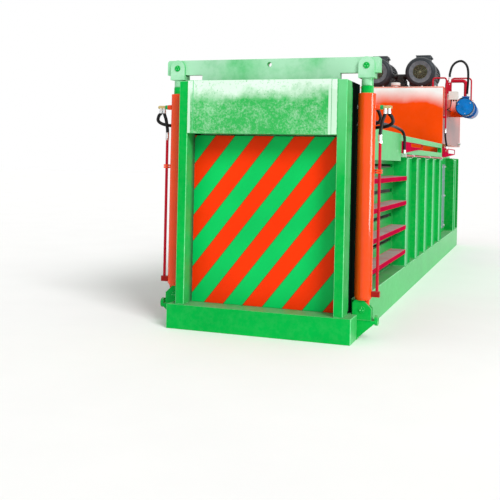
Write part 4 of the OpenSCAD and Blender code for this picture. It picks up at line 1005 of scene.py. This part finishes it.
brass = rolled_steel("brass fitting", (0.60, 0.47, 0.20), rust=0.0, metallic=0.9, rough=0.3,
                     grain=(20, 20, 20))
green_nut = enamel("painted nut", (0.01, 0.42, 0.12), gloss=0.3)
FERRULE = [(0, 12), (1, 16), (9, 16), (11, 14.6), (14, 14.6), (16, 16), (22, 16), (24, 14.6),
           (27, 14.6), (29, 16), (34, 16), (36, 14.6), (39, 14.6), (41, 16), (48, 16), (50, 14)]
SHORT_FERRULE = [(0, 14.5), (1, 16), (7, 16), (9, 15), (11, 15), (13, 16), (21, 16), (23, 14.4)]
PORT_FERRULE = [(0, 14.4), (1, 15.8), (10, 15.8), (11, 14.8), (13, 14.8), (14, 15.8),
                (24, 15.8), (25, 13), (46, 13)]
ends = Stock()
for side in (-1, 1):
    outward = (side, 0, 0)
    ends.turned((side * 922, LIFT_Y, 1572), UP, FERRULE, 28)
    ends.turned((side * 922, LIFT_Y, 1556), UP, [(0, 15), (1, 17), (15, 17), (16, 15)], 6)
    for x, profile, sides, surface in (
            (916, [(0, 19), (2, 20), (24, 20), (26, 18)], 6, green_nut),
            (942, [(0, 12), (2, 15), (58, 15), (60, 11)], 28, brass),
            (1002, [(0, 13), (1, 14), (7, 14), (8, 12)], 6, brass)):
        ends.turned((side * x, LIFT_Y, PORT_Z), outward, profile, sides, surface)
    for x in (956, 987):
        ends.turned((side * x, LIFT_Y, 1786), UP, PORT_FERRULE, 28)
    for x, y, z in ((600, 760, 1525), (660, 1000, 1700)):
        ends.turned((side * x, y, z), UP, [(0, 22), (14, 22), (16, 19), (18, 19),
                                           (20, 17), (46, 17), (48, 14.2)], 28)
    for y, z in ((400, 1850), (410, 1712)):
        ends.turned((side * 705, y, z), outward, [(0, 18), (2, 20), (18, 20), (20, 18)], 6)
        ends.turned((side * 725, y, z), outward, SHORT_FERRULE, 28)
    ends.block(*across(side, (BASE_HALF, 2224, 1462), (823, 2260, 1500)))
    ends.turned((side * 804, 2242, 1500), UP, FERRULE[:12], 28)
    for share in (0.2, 0.6, 0.98):
        y = 2260 + 3540 * share
        ends.block(*across(side, (BASE_HALF, y - 15, 1458), (BASE_HALF + 4, y + 15, 1502)))
        ends.turned((side * 790, y - 12, 1480), BACKWARD, [(0, 13), (1, 14), (23, 14),
                                                           (24, 13)], 28)
        for z in (1463, 1497):
            ends.bolt((side * (BASE_HALF + 4), y, z), outward, 7)
ends.turned((806, 5950, 1845), UP, FERRULE, 28)
ends.turned((806, 5950, 1895), UP, [(0, 15), (1, 17), (14, 17), (15, 15)], 6)
ends.block((TANK_HALF, 5930, 2060), (794, 5970, 2090), pipe_red)
ends.turned((806, 5936, 2075), BACKWARD, [(0, 15), (1, 17), (27, 17), (28, 15)], 24, pipe_red)
ends.block((787, 6010, 1565), (840, 6050, 1612), pipe_red)
ends.turned((820, 6030, 1612), UP, [(0, 17), (10, 17), (11, 16), (40, 16), (42, 14.4)], 28)
ends.block((TANK_HALF, 6375, TANK_TOP - 60), (835, 6425, TANK_TOP + 105), pipe_red)
ends.turned((805, 6400, TANK_TOP + 105), UP,
            [(0, 19), (14, 19), (15, 17)] + [(a + 17, r + 3) for a, r in FERRULE]
            + [(82, 17)], 28)
ends.turned((1050, 6540, 2412), UP, [(0, 19), (12, 19), (14, 20), (40, 20), (42, 17.4)], 28)
for x, y, z in ((805, 6374, 2480), (805, 6374, 2590), (814, 6009, 1588)):
    ends.bolt((x, y, z), FORWARD, 9)
ends = ends.finish("swaged_fittings", "frame", "cream", zinc, brass, green_nut, pipe_red,
                   edge=0.6)
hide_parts("hose_fittings")

# Studio, no part of the baler: a plain pale floor sheet, soft daylight from the right, white
# all round, and a tall lamp whose glint runs down the orange cylinders.
plane = bpy.data.meshes.new("studio_floor")
plane.from_pydata([(-60, -60, -0.001), (60, -60, -0.001), (60, 60, -0.001), (-60, 60, -0.001)],
                  [], [(0, 1, 2, 3)])
floor = bpy.data.objects.new("studio_floor", plane)
bpy.context.scene.collection.objects.link(floor)
pale, shader, where = bare_material("pale floor")
blended(cloud(where, 1.3, 4.0), rgb((0.88, 0.88, 0.87)),
        rgb((0.93, 0.93, 0.92))).into(shader, "Base Color")
shader.inputs["Roughness"].default_value = 0.85
plane.materials.append(pale)

DAYLIGHT = 0.66
world = bpy.data.worlds.new("daylight")
bpy.context.scene.world = world
world.use_nodes = True
tree = world.node_tree
tree.nodes.clear()
path = wired(tree, "ShaderNodeLightPath")
camera_ray, glossy_ray, passing_ray = (
    Reading(tree, path.outputs[kind])
    for kind in ("Is Camera Ray", "Is Glossy Ray", "Is Transmission Ray"))
seen = worked("MAXIMUM", camera_ray, worked("MAXIMUM", glossy_ray, passing_ray))
strength = seen * (1.0 - DAYLIGHT) + DAYLIGHT
sky = wired(tree, "ShaderNodeBackground", {"Color": (1, 1, 1, 1), "Strength": strength})
tree.links.new(sky.outputs[0], wired(tree, "ShaderNodeOutputWorld").inputs[0])

sun = bpy.data.lights.new("daylight from the right", "SUN")
sun.energy, sun.angle = 2.45, math.radians(24)
door = bpy.data.lights.new("glint of the side door", "AREA")
door.shape, door.size, door.size_y, door.energy = "RECTANGLE", 1.1, 2.4, 140
for light, way, place in ((sun, (0.62, -0.55, 0.56), (6, -6, 6)),
                          (door, (0.985, -0.13, 0.0), (3.3, -0.2, 1.2))):
    lamp = bpy.data.objects.new(light.name, light)
    lamp.location = place
    lamp.rotation_euler = Vector(way).to_track_quat("Z", "Y").to_euler()
    lamp.visible_diffuse = light is sun
    lamp.visible_camera = False
    bpy.context.scene.collection.objects.link(lamp)

camera = bpy.data.cameras.new("photograph view")
camera.lens, camera.sensor_width, camera.shift_y = 59.04, 36, -0.182
camera.clip_start, camera.clip_end = 0.1, 200
eye = bpy.data.objects.new("photograph view", camera)
bpy.context.scene.collection.objects.link(eye)
eye.matrix_world = (Matrix.Translation((2.118, -6.272, 1.409))
                    @ Matrix.Rotation(math.radians(19.54), 4, "Z")
                    @ Matrix.Rotation(math.radians(90), 4, "X")
                    @ Matrix.Rotation(0.0216, 4, "Z"))
bpy.context.scene.camera = eye
bpy.context.scene.view_settings.view_transform = "Standard"
